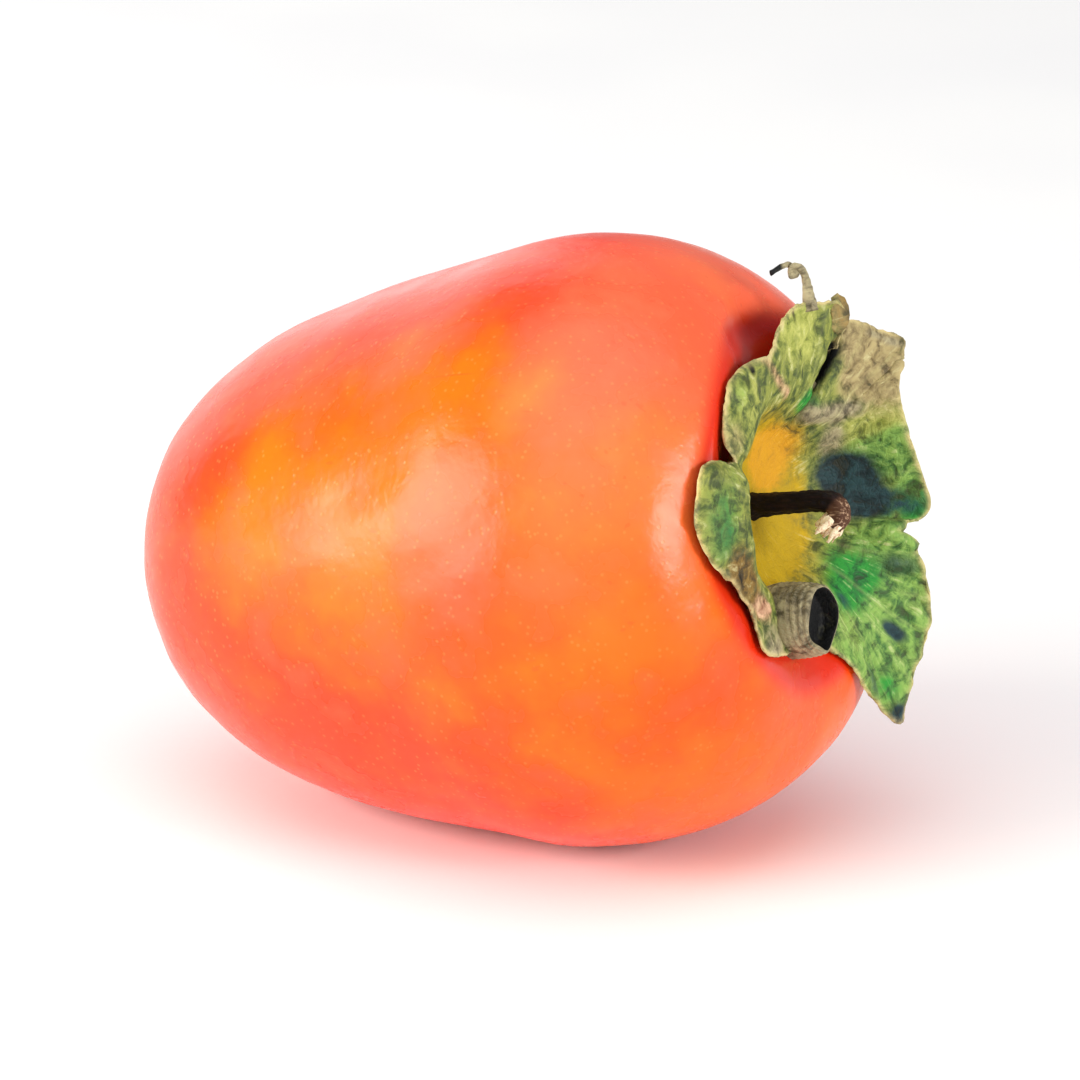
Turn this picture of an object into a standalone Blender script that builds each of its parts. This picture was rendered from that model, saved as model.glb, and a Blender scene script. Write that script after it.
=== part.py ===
"""A ripe persimmon lying on its side: the fruit, its four-lobed calyx, the stub of its woody stem and
the dry remnant of the style at its tip.

Each piece is worked out in millimetres in the fruit's own upright frame, where +Z runs along the
axis from the tip to the calyx, and its mesh is made in metres. A parent empty then lays the fruit
on its flank, with the tip towards -X and the calyx raised towards +X.
"""

import math

import bmesh
import bpy
import numpy as np
from mathutils import Matrix, Vector
from mathutils.bvhtree import BVHTree

MM = 0.001

# How the fruit lies: its axis climbs towards the calyx, and the flank has a small flat spot.
REST_TILT = math.radians(11.5)
FLAT_DEPTH = 0.45
GAP = 0.3

# The fruit's turned outline, from the tip to the middle of the basin: height along the axis, radius.
PROFILE = (
    (-47.0, 0.0),
    (-45.4, 9.4),
    (-38.4, 20.1),
    (-27.5, 27.5),
    (-14.5, 32.0),
    (-1.0, 34.9),
    (12.0, 37.1),
    (23.5, 35.9),
    (33.0, 31.5),
    (38.0, 26.4),
    (40.0, 21.5),
    (38.8, 17.0),
    (35.8, 11.5),
    (33.6, 6.0),
    (33.0, 0.0),
)
SHOULDER_STATIONS = (6, 9)
BASIN_STATIONS = (8, 11)
STEPS_PER_STATION = 3
FRUIT_SIDES = 52
SQUARENESS = 0.014

# The basin lies off the axis, its shoulder leans back on that side, and a furrow crosses its rim.
BASIN_SIDE = math.radians(164)
BASIN_SHIFT = 3.0
SHOULDER_LEAN = 0.035
FURROW_SIDE = math.radians(176)
FURROW_WIDTH = math.radians(18)
FURROW_RADIUS = 22.5
FURROW_REACH = 4.0
FURROW_DEPTH = 2.4
RIM_RADIUS = 21.5
RIM_REACH = 7.0
RIM_DIP = 0.6

# The calyx clock: its lobes are counted from here, anticlockwise as seen from outside.
CLOCK_ZERO = math.radians(74)
BASIN_FLOOR = 33.0

# Each lobe's margin: clock angle in degrees, radius, height above the basin floor.
FAR_UPPER_LOBE = (
    (-6, 17.0, 13.4),
    (-2, 19.2, 14.8),
    (12, 18.0, 14.8),
    (29, 18.2, 14.2),
    (41, 21.6, 13.2),
    (46, 27.6, 12.0),
    (54, 26.2, 10.6),
    (61, 24.0, 9.4),
)
NEAR_UPPER_LOBE = (
    (71, 23.2, 9.4),
    (76, 25.2, 9.8),
    (84, 24.5, 9.2),
    (93, 23.4, 8.8),
    (103, 21.2, 8.4),
    (117, 19.4, 8.8),
    (128, 21.4, 8.4),
    (139, 22.6, 8.0),
    (149, 22.2, 7.8),
    (157, 20.6, 7.8),
)
NEAR_LOWER_LOBE = (
    (169, 23.6, 8.2),
    (176, 25.6, 8.0),
    (186, 25.8, 7.8),
    (198, 24.0, 8.0),
    (211, 20.8, 8.2),
    (223, 19.8, 8.2),
    (234, 22.0, 8.4),
    (247, 21.6, 8.6),
    (261, 19.4, 8.4),
)
FAR_LOWER_LOBE = (
    (289, 18.0, 7.0),
    (299, 23.0, 7.4),
    (304, 28.0, 7.8),
    (308, 34.2, 8.8),
    (312, 32.0, 10.0),
    (320, 28.6, 12.0),
    (328, 25.2, 13.4),
    (335, 21.6, 14.2),
    (342, 17.4, 14.0),
)

# The notches between neighbouring lobes, as margin points, in the same order.
NOTCHES = ((66, 15.0, 5.8), (163, 17.0, 7.4), (275, 13.0, 5.6), (348, 12.8, 9.4))

# How far a lobe's edge turns over beyond its margin, outwards and upwards, at its first and last point.
LOBE_LIPS = (
    ((0.5, 0.8), (1.2, -0.4)),
    ((0.7, 1.1), (1.0, -1.4)),
    ((1.2, -1.6), (0.8, 1.5)),
    ((0.8, -0.6), (0.5, 0.8)),
)
NOTCH_LIP = (0.2, 0.2)

CENTRE_RISE = 0.8
DISC_RADIUS = 8.0
DISC_RISE = 1.7
CREST_RADIUS = 13.6
CREST_SHARE = 0.8
CREST_HEIGHT = 6.4
CREST_NEAR_RISE = 1.6
CREST_NEAR_SIDE = math.radians(180)
NOTCH_SINK = 1.4
NOTCH_RADII = (16.0, 23.0)
LEAST_LIP = 0.1
CREST_EVENING = 4
DISC_EVENING = 6
NORMAL_EVENING = 1
LEAST_LEVEL = 0.6
CALYX_THICK = 0.8
CALYX_SLACK = 0.2
CALYX_SOFTNESS = 0.15
CALYX_SIDES = 84
CALYX_STEPS = (3, 3, 5, 2)
MARGIN_WAVE = 0.35
MARGIN_WAVES = ((7, 0.6, 1.0), (12, 2.1, 0.6))
SAMPLES_PER_SPAN = 16

# The stem stub's centre line: towards clock zero, towards clock ninety, above the calyx, and its radius.
STEM_LINE = (
    (0.0, 0.0, 0.0, 2.5),
    (0.0, 0.1, 1.4, 1.65),
    (0.0, 0.2, 5.0, 1.4),
    (0.2, 0.2, 9.6, 1.4),
    (0.4, -0.6, 12.4, 1.6),
    (0.3, -2.2, 13.3, 1.6),
    (0.2, -3.4, 13.0, 1.3),
)
STEM_SIDES = 12
STEM_STEPS = 3
STEM_RIBS = 5
STEM_RIB_DEPTH = 0.08
# The stem's foot stands clear of the calyx under it in this many directions, at these shares of its radius.
FOOT_DIRECTIONS = 16
FOOT_SHARES = (0.0, 0.6, 1.1)

# The dry style remnant: distance out of the tip, radius.
STYLE_TIP_LINE = ((0.0, 1.5), (0.5, 1.25), (1.0, 0.75), (1.9, 0.35))
STYLE_TIP_SIDES = 12
STYLE_TIP_RIBS = 4
STYLE_TIP_RIB_DEPTH = 0.16

# Rays that find a surface start above everything, in metres, and head for the tip.
ABOVE_ALL = 0.2
DOWNWARDS = Vector((0, 0, -1))
STEEPEST_DRAPE = 0.35

# Colour, roughness and metallic value of each piece.
FINISHES = {
    "fruit": ((0.95, 0.27, 0.05), 0.38, 0.0),
    "calyx": ((0.26, 0.30, 0.10), 0.7, 0.0),
    "stem": ((0.10, 0.055, 0.035), 0.8, 0.0),
    "style_tip": ((0.03, 0.02, 0.015), 0.85, 0.0),
}


def clear_scene():
    """Removes the objects that the file opened with."""
    for obj in list(bpy.data.objects):
        bpy.data.objects.remove(obj, do_unlink=True)


def smooth_path(points, steps, closed=False):
    """A centripetal Catmull-Rom curve through the points, with this many steps on each span."""
    points = np.asarray(points, float)
    if closed:
        spans = len(points)
        padded = np.vstack([points[-1:], points, points[:2]])
    else:
        spans = len(points) - 1
        padded = np.vstack([2 * points[0] - points[1], points, 2 * points[-1] - points[-2]])
    counts = steps if isinstance(steps, (tuple, list)) else [steps] * spans
    found = []
    for i in range(spans):
        p0, p1, p2, p3 = padded[i : i + 4]
        t1 = math.sqrt(np.linalg.norm(p1 - p0))
        t2 = t1 + math.sqrt(np.linalg.norm(p2 - p1))
        t3 = t2 + math.sqrt(np.linalg.norm(p3 - p2))
        for k in range(counts[i]):
            t = t1 + (t2 - t1) * k / counts[i]
            a1 = p0 + (p1 - p0) * t / t1
            a2 = p1 + (p2 - p1) * (t - t1) / (t2 - t1)
            a3 = p2 + (p3 - p2) * (t - t2) / (t3 - t2)
            b1 = a1 + (a2 - a1) * t / t2
            b2 = a2 + (a3 - a2) * (t - t1) / (t3 - t1)
            found.append(b1 + (b2 - b1) * (t - t1) / (t2 - t1))
    if not closed:
        found.append(padded[-2])
    return np.array(found)


def smoothstep(value):
    """Runs from 0 to 1 as the value does, with level ends."""
    value = np.clip(value, 0.0, 1.0)
    return value * value * (3 - 2 * value)


def passed(station, span):
    """How far a station has come through a span of stations, from 0 to 1."""
    first, last = span
    return smoothstep((station - first) / (last - first))


def make_object(name, points, faces, parent):
    """A mesh object made from points in millimetres, with the piece's own material."""
    mesh = bpy.data.meshes.new(name)
    mesh.from_pydata([tuple(p * MM) for p in points], [], faces)
    mesh.shade_smooth()
    obj = bpy.data.objects.new(name, mesh)
    obj.parent = parent
    bpy.context.scene.collection.objects.link(obj)
    colour, roughness, metallic = FINISHES[name]
    material = bpy.data.materials.new(name)
    material.use_nodes = True
    shader = material.node_tree.nodes["Principled BSDF"]
    shader.inputs["Base Color"].default_value = (*colour, 1.0)
    shader.inputs["Roughness"].default_value = roughness
    shader.inputs["Metallic"].default_value = metallic
    mesh.materials.append(material)
    return obj


def ring_faces(rings, sides, first=0, flip=False):
    """Triangles joining each ring of points to the next."""
    faces = []
    for j in range(rings - 1):
        for i in range(sides):
            a = first + j * sides + i
            b = first + j * sides + (i + 1) % sides
            c, d = b + sides, a + sides
            pair = [(a, b, c), (a, c, d)]
            faces += [face[::-1] for face in pair] if flip else pair
    return faces


def fan_faces(centre, first, sides, flip=False):
    """Triangles joining one point to the ring that starts at the index first."""
    faces = [(centre, first + i, first + (i + 1) % sides) for i in range(sides)]
    return [face[::-1] for face in faces] if flip else faces


def fruit_rings():
    """The fruit's surface as rings of points, and the points at its two ends."""
    tip_side = (PROFILE[1][0], -PROFILE[1][1])
    floor_side = (PROFILE[-2][0], -PROFILE[-2][1])
    line = smooth_path((tip_side, *PROFILE, floor_side), STEPS_PER_STATION)
    line = line[STEPS_PER_STATION : -STEPS_PER_STATION]
    angles = np.arange(FRUIT_SIDES) * 2 * math.pi / FRUIT_SIDES
    widest = max(radius for _, radius in PROFILE)
    from_furrow = np.remainder(angles - FURROW_SIDE + math.pi, 2 * math.pi) - math.pi
    rings = []
    for index, (height, radius) in enumerate(line):
        station = index / STEPS_PER_STATION
        shoulder = passed(station, SHOULDER_STATIONS)
        basin = passed(station, BASIN_STATIONS)
        reach = radius * (1 - SQUARENESS * (radius / widest) ** 2 * np.cos(4 * angles))
        lean = SHOULDER_LEAN * shoulder * reach * np.cos(angles - BASIN_SIDE)
        furrow = np.exp(-((from_furrow / FURROW_WIDTH) ** 2))
        furrow *= FURROW_DEPTH * math.exp(-(((radius - FURROW_RADIUS) / FURROW_REACH) ** 2))
        dips = RIM_DIP * np.cos(4 * from_furrow) * math.exp(-(((radius - RIM_RADIUS) / RIM_REACH) ** 2))
        ring = np.empty((FRUIT_SIDES, 3))
        ring[:, 0] = reach * np.cos(angles) + BASIN_SHIFT * math.cos(BASIN_SIDE) * basin
        ring[:, 1] = reach * np.sin(angles) + BASIN_SHIFT * math.sin(BASIN_SIDE) * basin
        ring[:, 2] = height - lean - shoulder * (furrow + dips)
        rings.append(ring)
    return rings[1:-1], rings[0][0], rings[-1][0]


def cut_flat_spot(obj, lying):
    """Cuts the small flat face that the fruit lies on, level once the fruit is laid down."""
    mesh = obj.data
    down = lying.inverted() @ Vector((0, 0, -1))
    lowest = max(vertex.co.dot(down) for vertex in mesh.vertices)
    level = lowest - FLAT_DEPTH * MM
    body = bmesh.new()
    body.from_mesh(mesh)
    cut = bmesh.ops.bisect_plane(
        body,
        geom=body.verts[:] + body.edges[:] + body.faces[:],
        dist=1e-6,
        plane_co=down * level,
        plane_no=down,
        clear_outer=True,
    )
    rim = [piece for piece in cut["geom_cut"] if isinstance(piece, bmesh.types.BMEdge)]
    spot = bmesh.ops.contextual_create(body, geom=rim)["faces"]
    for face in spot:
        face.smooth = False
        for edge in face.edges:
            edge.smooth = False
    bmesh.ops.recalc_face_normals(body, faces=body.faces[:])
    body.to_mesh(mesh)
    body.free()


def make_fruit(root, lying):
    """The fruit, one solid body with a basin at its calyx end."""
    rings, tip, floor = fruit_rings()
    points = np.vstack([*rings, [tip], [floor]])
    count = len(rings) * FRUIT_SIDES
    faces = ring_faces(len(rings), FRUIT_SIDES)
    faces += fan_faces(count, 0, FRUIT_SIDES, flip=True)
    faces += fan_faces(count + 1, count - FRUIT_SIDES, FRUIT_SIDES)
    fruit = make_object("fruit", points, faces, root)
    cut_flat_spot(fruit, lying)
    return fruit


def basin_centre():
    """Where the calyx stands on the fruit: its clock's middle, on the basin floor."""
    side = np.array([math.cos(BASIN_SIDE), math.sin(BASIN_SIDE), 0.0])
    return side * BASIN_SHIFT + np.array([0.0, 0.0, BASIN_FLOOR])


def from_clock(points):
    """Moves points from the calyx clock's frame to the fruit's."""
    points = np.asarray(points, float)
    c, s = math.cos(CLOCK_ZERO), math.sin(CLOCK_ZERO)
    turned = points.copy()
    turned[..., 0] = c * points[..., 0] - s * points[..., 1]
    turned[..., 1] = s * points[..., 0] + c * points[..., 1]
    return turned + basin_centre()


def margin_line():
    """The calyx's margin and how far its lip turns over, evenly spaced along its length."""
    lobes = (FAR_UPPER_LOBE, NEAR_UPPER_LOBE, NEAR_LOWER_LOBE, FAR_LOWER_LOBE)
    stations = []
    for lobe, (first_lip, last_lip), notch in zip(lobes, LOBE_LIPS, NOTCHES):
        for index, place in enumerate(lobe):
            share = index / (len(lobe) - 1)
            lip = [a + (b - a) * share for a, b in zip(first_lip, last_lip)]
            stations.append((*place, *lip))
        stations.append((*notch, *NOTCH_LIP))
    corners = []
    for degrees, radius, height, out, rise in stations:
        angle = math.radians(degrees)
        corners.append((radius * math.cos(angle), radius * math.sin(angle), height, out, rise))
    fine = smooth_path(corners, SAMPLES_PER_SPAN, closed=True)
    loop = np.vstack([fine, fine[:1]])
    along = np.r_[0.0, np.cumsum(np.linalg.norm(np.diff(loop[:, :3], axis=0), axis=1))]
    wanted = np.arange(CALYX_SIDES) * along[-1] / CALYX_SIDES
    return np.column_stack([np.interp(wanted, along, loop[:, k]) for k in range(loop.shape[1])])


def evened(values, reach):
    """Values round a closed line, each averaged with its neighbours up to this many steps away."""
    total = sum(np.roll(values, step, axis=0) for step in range(-reach, reach + 1))
    return total / (2 * reach + 1)


def evened_turn(turn, reach):
    """Angles that grow once round a closed line, evened without losing the full turn."""
    even = np.arange(len(turn)) * 2 * math.pi / len(turn)
    return even + evened(turn - even, reach)


def outward(turn):
    """Unit vectors that point out from the clock's middle."""
    return np.column_stack([np.cos(turn), np.sin(turn), np.zeros(len(turn))])


def calyx_grid(fruit):
    """The calyx's middle surface: one line of points from the centre to the lip for each step round."""
    margin = margin_line()
    edge = margin[:, :3]
    clock = np.unwrap(np.arctan2(edge[:, 1], edge[:, 0]))
    width = np.hypot(edge[:, 0], edge[:, 1])
    up = np.array([0.0, 0.0, 1.0])
    crest_turn = evened_turn(clock, CREST_EVENING)
    disc_turn = evened_turn(crest_turn, DISC_EVENING)
    first, last = NOTCH_RADII
    in_notch = 1 - smoothstep((evened(width, 1) - first) / (last - first))
    crest_rise = CREST_HEIGHT + CREST_NEAR_RISE * (0.5 + 0.5 * np.cos(crest_turn - CREST_NEAR_SIDE))
    crest_rise -= NOTCH_SINK * in_notch
    crest_radius = np.minimum(CREST_RADIUS, CREST_SHARE * evened(width, 1))
    disc = outward(disc_turn) * DISC_RADIUS + up * DISC_RISE
    opposite = -outward(disc_turn) * DISC_RADIUS + up * DISC_RISE
    centre = np.zeros((CALYX_SIDES, 3)) + up * CENTRE_RISE
    crest = outward(crest_turn) * crest_radius[:, None] + up * crest_rise[:, None]
    along = evened(np.roll(edge, -1, axis=0) - np.roll(edge, 1, axis=0), 1)
    across = outward(np.arctan2(-along[:, 0], along[:, 1]))
    turn_over = margin[:, 3:] * (LEAST_LIP + (1 - LEAST_LIP) * (1 - in_notch))[:, None]
    lip = edge + across * turn_over[:, :1] + up * turn_over[:, 1:]
    lines = []
    for stations in zip(opposite, centre, disc, crest, edge, lip):
        lines.append(smooth_path(stations, (1, *CALYX_STEPS))[1:])
    grid = np.array(lines)
    share = np.linspace(0, 1, grid.shape[1])[None, :]
    wave = sum(size * np.sin(count * clock + phase) for count, phase, size in MARGIN_WAVES)
    grid[:, :, 2] += MARGIN_WAVE * wave[:, None] * share**3
    return drape(from_clock(grid), fruit)


def drape(grid, fruit):
    """Lifts the calyx's middle surface wherever it would sink into the fruit."""
    tree = BVHTree.FromObject(fruit, bpy.context.evaluated_depsgraph_get())
    clearance = GAP + CALYX_THICK / 2 + CALYX_SLACK
    lifted = grid.copy()
    for place in np.ndindex(grid.shape[:2]):
        x, y, z = grid[place]
        hit, normal, _, _ = tree.ray_cast(Vector((x * MM, y * MM, ABOVE_ALL)), DOWNWARDS)
        if hit is None:
            continue
        lowest = hit.z / MM + clearance / max(normal.z, STEEPEST_DRAPE)
        above = (z - lowest) / CALYX_SOFTNESS
        lifted[place][2] = lowest + CALYX_SOFTNESS * np.logaddexp(0.0, above)
    return lifted


def steepness(grid):
    """How much further apart a sheet's faces are along the axis than across the sheet, at each point."""
    round_it = np.roll(grid, -1, axis=0) - np.roll(grid, 1, axis=0)
    along = np.gradient(grid, axis=1)
    normals = np.cross(along, round_it)
    normals[:, 0] = (0, 0, 1)
    level = np.abs(normals[:, :, 2]) / np.maximum(np.linalg.norm(normals, axis=2), 1e-9)
    return 1 / np.maximum(evened(level, NORMAL_EVENING), LEAST_LEVEL)


def make_calyx(root, fruit):
    """The calyx: four lobes grown together round a disc, one thin body."""
    grid = calyx_grid(fruit)
    half = np.zeros_like(grid)
    half[:, :, 2] = steepness(grid) * CALYX_THICK / 2
    upper = grid + half
    lower = grid - half
    rings = grid.shape[1] - 1
    points = [upper[0, 0]]
    points += [upper[i, j] for j in range(1, rings + 1) for i in range(CALYX_SIDES)]
    under = len(points)
    points += [lower[0, 0]]
    points += [lower[i, j] for j in range(1, rings + 1) for i in range(CALYX_SIDES)]
    faces = fan_faces(0, 1, CALYX_SIDES)
    faces += ring_faces(rings, CALYX_SIDES, first=1, flip=True)
    faces += fan_faces(under, under + 1, CALYX_SIDES, flip=True)
    faces += ring_faces(rings, CALYX_SIDES, first=under + 1)
    last = 1 + (rings - 1) * CALYX_SIDES
    for i in range(CALYX_SIDES):
        a, b = last + i, last + (i + 1) % CALYX_SIDES
        faces += [(a, a + under, b + under), (a, b + under, b)]
    return make_object("calyx", np.array(points), faces, root)


def swept_tube(line, sides, ribs, rib_depth):
    """Points and faces of a closed round bar along a centre line whose fourth value is the radius."""
    centres, radii = line[:, :3], line[:, 3]
    heading = np.gradient(centres, axis=0)
    heading /= np.linalg.norm(heading, axis=1, keepdims=True)
    side = np.cross(heading[0], (0.0, 1.0, 0.0))
    angles = np.arange(sides) * 2 * math.pi / sides
    rings = []
    for centre, radius, ahead in zip(centres, radii, heading):
        side = side - ahead * side.dot(ahead)
        side /= np.linalg.norm(side)
        other = np.cross(ahead, side)
        reach = radius + rib_depth * np.cos(ribs * angles)
        rings.append(
            centre + reach[:, None] * (np.cos(angles)[:, None] * side + np.sin(angles)[:, None] * other)
        )
    points = np.vstack([*rings, [centres[0]], [centres[-1]]])
    count = len(rings) * sides
    faces = ring_faces(len(rings), sides)
    faces += fan_faces(count, 0, sides, flip=True)
    faces += fan_faces(count + 1, count - sides, sides)
    return points, faces


def make_stem(root, calyx):
    """The stub of the woody stem, hooked over where it was broken off."""
    line = smooth_path(STEM_LINE, STEM_STEPS)
    middle = basin_centre()
    tree = BVHTree.FromObject(calyx, bpy.context.evaluated_depsgraph_get())
    reach = STEM_LINE[0][3]
    tops = []
    for turn in np.arange(FOOT_DIRECTIONS) * 2 * math.pi / FOOT_DIRECTIONS:
        for share in FOOT_SHARES:
            x = middle[0] + share * reach * math.cos(turn)
            y = middle[1] + share * reach * math.sin(turn)
            hit = tree.ray_cast(Vector((x * MM, y * MM, ABOVE_ALL)), DOWNWARDS)[0]
            tops.append(hit.z / MM)
    placed = from_clock(line[:, :3])
    placed[:, 2] += max(tops) + GAP - BASIN_FLOOR
    points, faces = swept_tube(
        np.column_stack([placed, line[:, 3]]), STEM_SIDES, STEM_RIBS, STEM_RIB_DEPTH
    )
    return make_object("stem", points, faces, root)


def make_style_tip(root):
    """The dry, four-ribbed remnant of the style, on the tip of the fruit."""
    tip_height = PROFILE[0][0]
    line = np.array([(0.0, 0.0, tip_height - GAP - out, radius) for out, radius in STYLE_TIP_LINE])
    points, faces = swept_tube(line, STYLE_TIP_SIDES, STYLE_TIP_RIBS, STYLE_TIP_RIB_DEPTH)
    return make_object("style_tip", points, faces, root)


def stand_on_floor(root, pieces, lying):
    """Lays the fruit down with its flat spot at height zero and its box centred on the origin."""
    corners = [lying @ vertex.co for piece in pieces for vertex in piece.data.vertices]
    lowest = [min(corner[k] for corner in corners) for k in range(3)]
    highest = [max(corner[k] for corner in corners) for k in range(3)]
    middle_x = (lowest[0] + highest[0]) / 2
    middle_y = (lowest[1] + highest[1]) / 2
    root.rotation_euler = lying.to_euler()
    root.location = (-middle_x, -middle_y, -lowest[2])


def main():
    """Builds the persimmon."""
    clear_scene()
    lying = Matrix.Rotation(math.pi / 2 - REST_TILT, 3, "Y")
    root = bpy.data.objects.new("persimmon", None)
    bpy.context.scene.collection.objects.link(root)
    fruit = make_fruit(root, lying)
    calyx = make_calyx(root, fruit)
    stem = make_stem(root, calyx)
    style_tip = make_style_tip(root)
    stand_on_floor(root, (fruit, calyx, stem, style_tip), lying)


main()
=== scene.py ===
"""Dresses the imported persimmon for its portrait: waxy skin, leafy calyx, broken stem and dry style.

Every shape is worked out in millimetres in the fruit's own upright frame, where +Z runs along the
axis from the tip to the calyx. Each piece is then laid down on the fruit's flank, where its node lies.
"""

import logging
import math
from dataclasses import dataclass
from enum import Enum
from typing import Optional, Sequence

import bpy
import numpy as np
from mathutils import Matrix, Vector
from mathutils.bvhtree import BVHTree


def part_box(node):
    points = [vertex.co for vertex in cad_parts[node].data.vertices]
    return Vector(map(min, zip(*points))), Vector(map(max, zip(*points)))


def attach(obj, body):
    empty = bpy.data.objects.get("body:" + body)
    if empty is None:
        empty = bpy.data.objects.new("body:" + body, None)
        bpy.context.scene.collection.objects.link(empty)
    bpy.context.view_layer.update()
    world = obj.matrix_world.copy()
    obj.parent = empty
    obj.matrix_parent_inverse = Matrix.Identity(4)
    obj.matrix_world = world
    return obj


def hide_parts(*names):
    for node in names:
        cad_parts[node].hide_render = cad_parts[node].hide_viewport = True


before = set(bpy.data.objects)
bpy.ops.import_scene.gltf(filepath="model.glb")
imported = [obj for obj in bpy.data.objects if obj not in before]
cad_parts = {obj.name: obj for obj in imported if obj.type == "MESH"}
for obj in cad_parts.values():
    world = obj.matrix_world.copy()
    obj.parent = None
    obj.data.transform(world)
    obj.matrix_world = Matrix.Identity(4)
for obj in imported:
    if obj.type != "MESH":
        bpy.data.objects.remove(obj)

MM = 0.001
FULL_TURN = 2 * math.pi
QUARTER_TURN = math.pi / 2
# Keeps a division by a length of zero from failing.
LEAST_LENGTH = 1e-9
# How far the lying fruit's axis climbs towards its calyx.
REST_TILT = math.radians(11.5)
# The calyx has four lobes, and the fruit under it has four faint corners.
LOBES = 4
# The values that most of a noise pattern lies between.
NOISE_SPAN = (0.3, 0.7)

log = logging.getLogger("persimmon")

Colour = tuple[float, float, float]
Faces = list[tuple[int, ...]]
Span = tuple[float, float]
Socket = bpy.types.NodeSocket


class Slot(Enum):
    """The record's material slots."""

    SKIN = "fruit_skin"
    LEAF = "calyx_leaf"
    WOOD = "stem_wood"
    STYLE = "style_dry"


class Tone(Enum):
    """The tones that lie over the calyx's olive green, each held in a mark of the mesh."""

    PALE = "pale"
    FRESH = "fresh"
    DEEP = "deep"
    DRY = "dry"
    GREY = "grey"
    GOLDEN = "golden"
    AMBER = "amber"
    BROWN = "brown"
    ROSY = "rosy"
    # Bruise is partly painted shade, in hollows of the lobes.
    BRUISE = "bruise"
    # Black is partly painted shade, in slits and inside the rolled tube.
    BLACK = "black"


def screen(red: int, green: int, blue: int) -> Colour:
    """Turns a colour as a screen shows it into the linear values that a shader takes.

    Args:
        red: Red share, 0 to 255.
        green: Green share, 0 to 255.
        blue: Blue share, 0 to 255.

    Returns:
        The three linear values, 0 to 1.
    """
    shares = [value / 255 for value in (red, green, blue)]
    return tuple(s / 12.92 if s <= 0.04045 else ((s + 0.055) / 1.055) ** 2.4 for s in shares)


def eased(value: np.ndarray | float, start: float, end: float) -> np.ndarray:
    """Runs from 0 at the start to 1 at the end, with level ends."""
    share = np.clip((value - start) / (end - start), 0.0, 1.0)
    return share * share * (3 - 2 * share)


def bell(offset: np.ndarray | float, width: np.ndarray | float) -> np.ndarray:
    """Falls from 1 at no offset to about a third at the width and almost nothing at twice it."""
    return np.exp(-((offset / width) ** 2))


def ripples(turn: np.ndarray, *terms: tuple[float, float, float]) -> np.ndarray:
    """Sums sine waves, each given by its size, its count in a full turn and its phase."""
    return sum(size * np.sin(count * turn + phase) for size, count, phase in terms)


def smooth_path(points: Sequence, steps: int | Sequence[int], closed: bool = False) -> np.ndarray:
    """Draws a centripetal Catmull-Rom curve through points.

    Args:
        points: The points that the curve passes through, of any number of values each.
        steps: Steps on each span, one number for all spans or one for each.
        closed: Whether the curve returns to its first point.

    Returns:
        The points along the curve, one row each.
    """
    points = np.asarray(points, float)
    if closed:
        spans = len(points)
        padded = np.vstack([points[-1:], points, points[:2]])
    else:
        spans = len(points) - 1
        padded = np.vstack([2 * points[0] - points[1], points, 2 * points[-1] - points[-2]])
    counts = steps if isinstance(steps, (tuple, list)) else [steps] * spans
    found = []
    for i in range(spans):
        p0, p1, p2, p3 = padded[i : i + 4]
        t1 = math.sqrt(np.linalg.norm(p1 - p0))
        t2 = t1 + math.sqrt(np.linalg.norm(p2 - p1))
        t3 = t2 + math.sqrt(np.linalg.norm(p3 - p2))
        t = (t1 + (t2 - t1) * np.arange(counts[i]) / counts[i])[:, None]
        a1 = p0 + (p1 - p0) * t / t1
        a2 = p1 + (p2 - p1) * (t - t1) / (t2 - t1)
        a3 = p2 + (p3 - p2) * (t - t2) / (t3 - t2)
        b1 = a1 + (a2 - a1) * t / t2
        b2 = a2 + (a3 - a2) * (t - t1) / (t3 - t1)
        found.append(b1 + (b2 - b1) * (t - t1) / (t2 - t1))
    if not closed:
        found.append(padded[-2:-1])
    return np.vstack(found)


def evened(values: np.ndarray, reach: int) -> np.ndarray:
    """Averages values round a closed line with their neighbours up to this many steps away."""
    total = sum(np.roll(values, step, axis=0) for step in range(-reach, reach + 1))
    return total / (2 * reach + 1)


def evened_turn(turn: np.ndarray, reach: int) -> np.ndarray:
    """Evens angles that grow once round a closed line, without losing the full turn."""
    even = np.arange(len(turn)) * FULL_TURN / len(turn)
    return even + evened(turn - even, reach)


def outward(turn: np.ndarray) -> np.ndarray:
    """Gives unit vectors that point out from the middle at these angles."""
    return np.column_stack([np.cos(turn), np.sin(turn), np.zeros(len(turn))])


def swell(points: np.ndarray, wavelength: float, seed: int, waves: int = 14) -> np.ndarray:
    """Gives a smooth random swell, as a sum of waves in seeded directions.

    Args:
        points: Places to read it at, with any leading shape and three values each.
        wavelength: The usual distance from crest to crest, in the points' unit.
        seed: Picks the pattern.
        waves: How many waves are summed.

    Returns:
        One value a place, mostly within -1 to 1.
    """
    draw = np.random.default_rng(seed)
    directions = draw.normal(size=(waves, 3))
    directions /= np.linalg.norm(directions, axis=1, keepdims=True)
    pace = FULL_TURN / wavelength * draw.uniform(0.65, 1.5, size=waves)
    phase = draw.uniform(0, FULL_TURN, size=waves)
    total = np.zeros(points.shape[:-1])
    for direction, speed, start in zip(directions, pace, phase):
        total += np.sin(points @ direction * speed + start)
    return total * math.sqrt(1.0 / waves)


def swells(points: np.ndarray, sizes: Sequence[Span], seed: int) -> np.ndarray:
    """Sums swells, each given by its wavelength and size, with seeds that count up from the first."""
    return sum(size * swell(points, wavelength, seed + k) for k, (wavelength, size) in enumerate(sizes))


def grid_normals(grid: np.ndarray) -> np.ndarray:
    """Gives unit normals of a grid whose first axis runs round and whose second runs along."""
    round_it = np.roll(grid, -1, axis=0) - np.roll(grid, 1, axis=0)
    along = np.gradient(grid, axis=1)
    normals = np.cross(along, round_it)
    size = np.linalg.norm(normals, axis=2, keepdims=True)
    return normals / np.maximum(size, LEAST_LENGTH)


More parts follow.
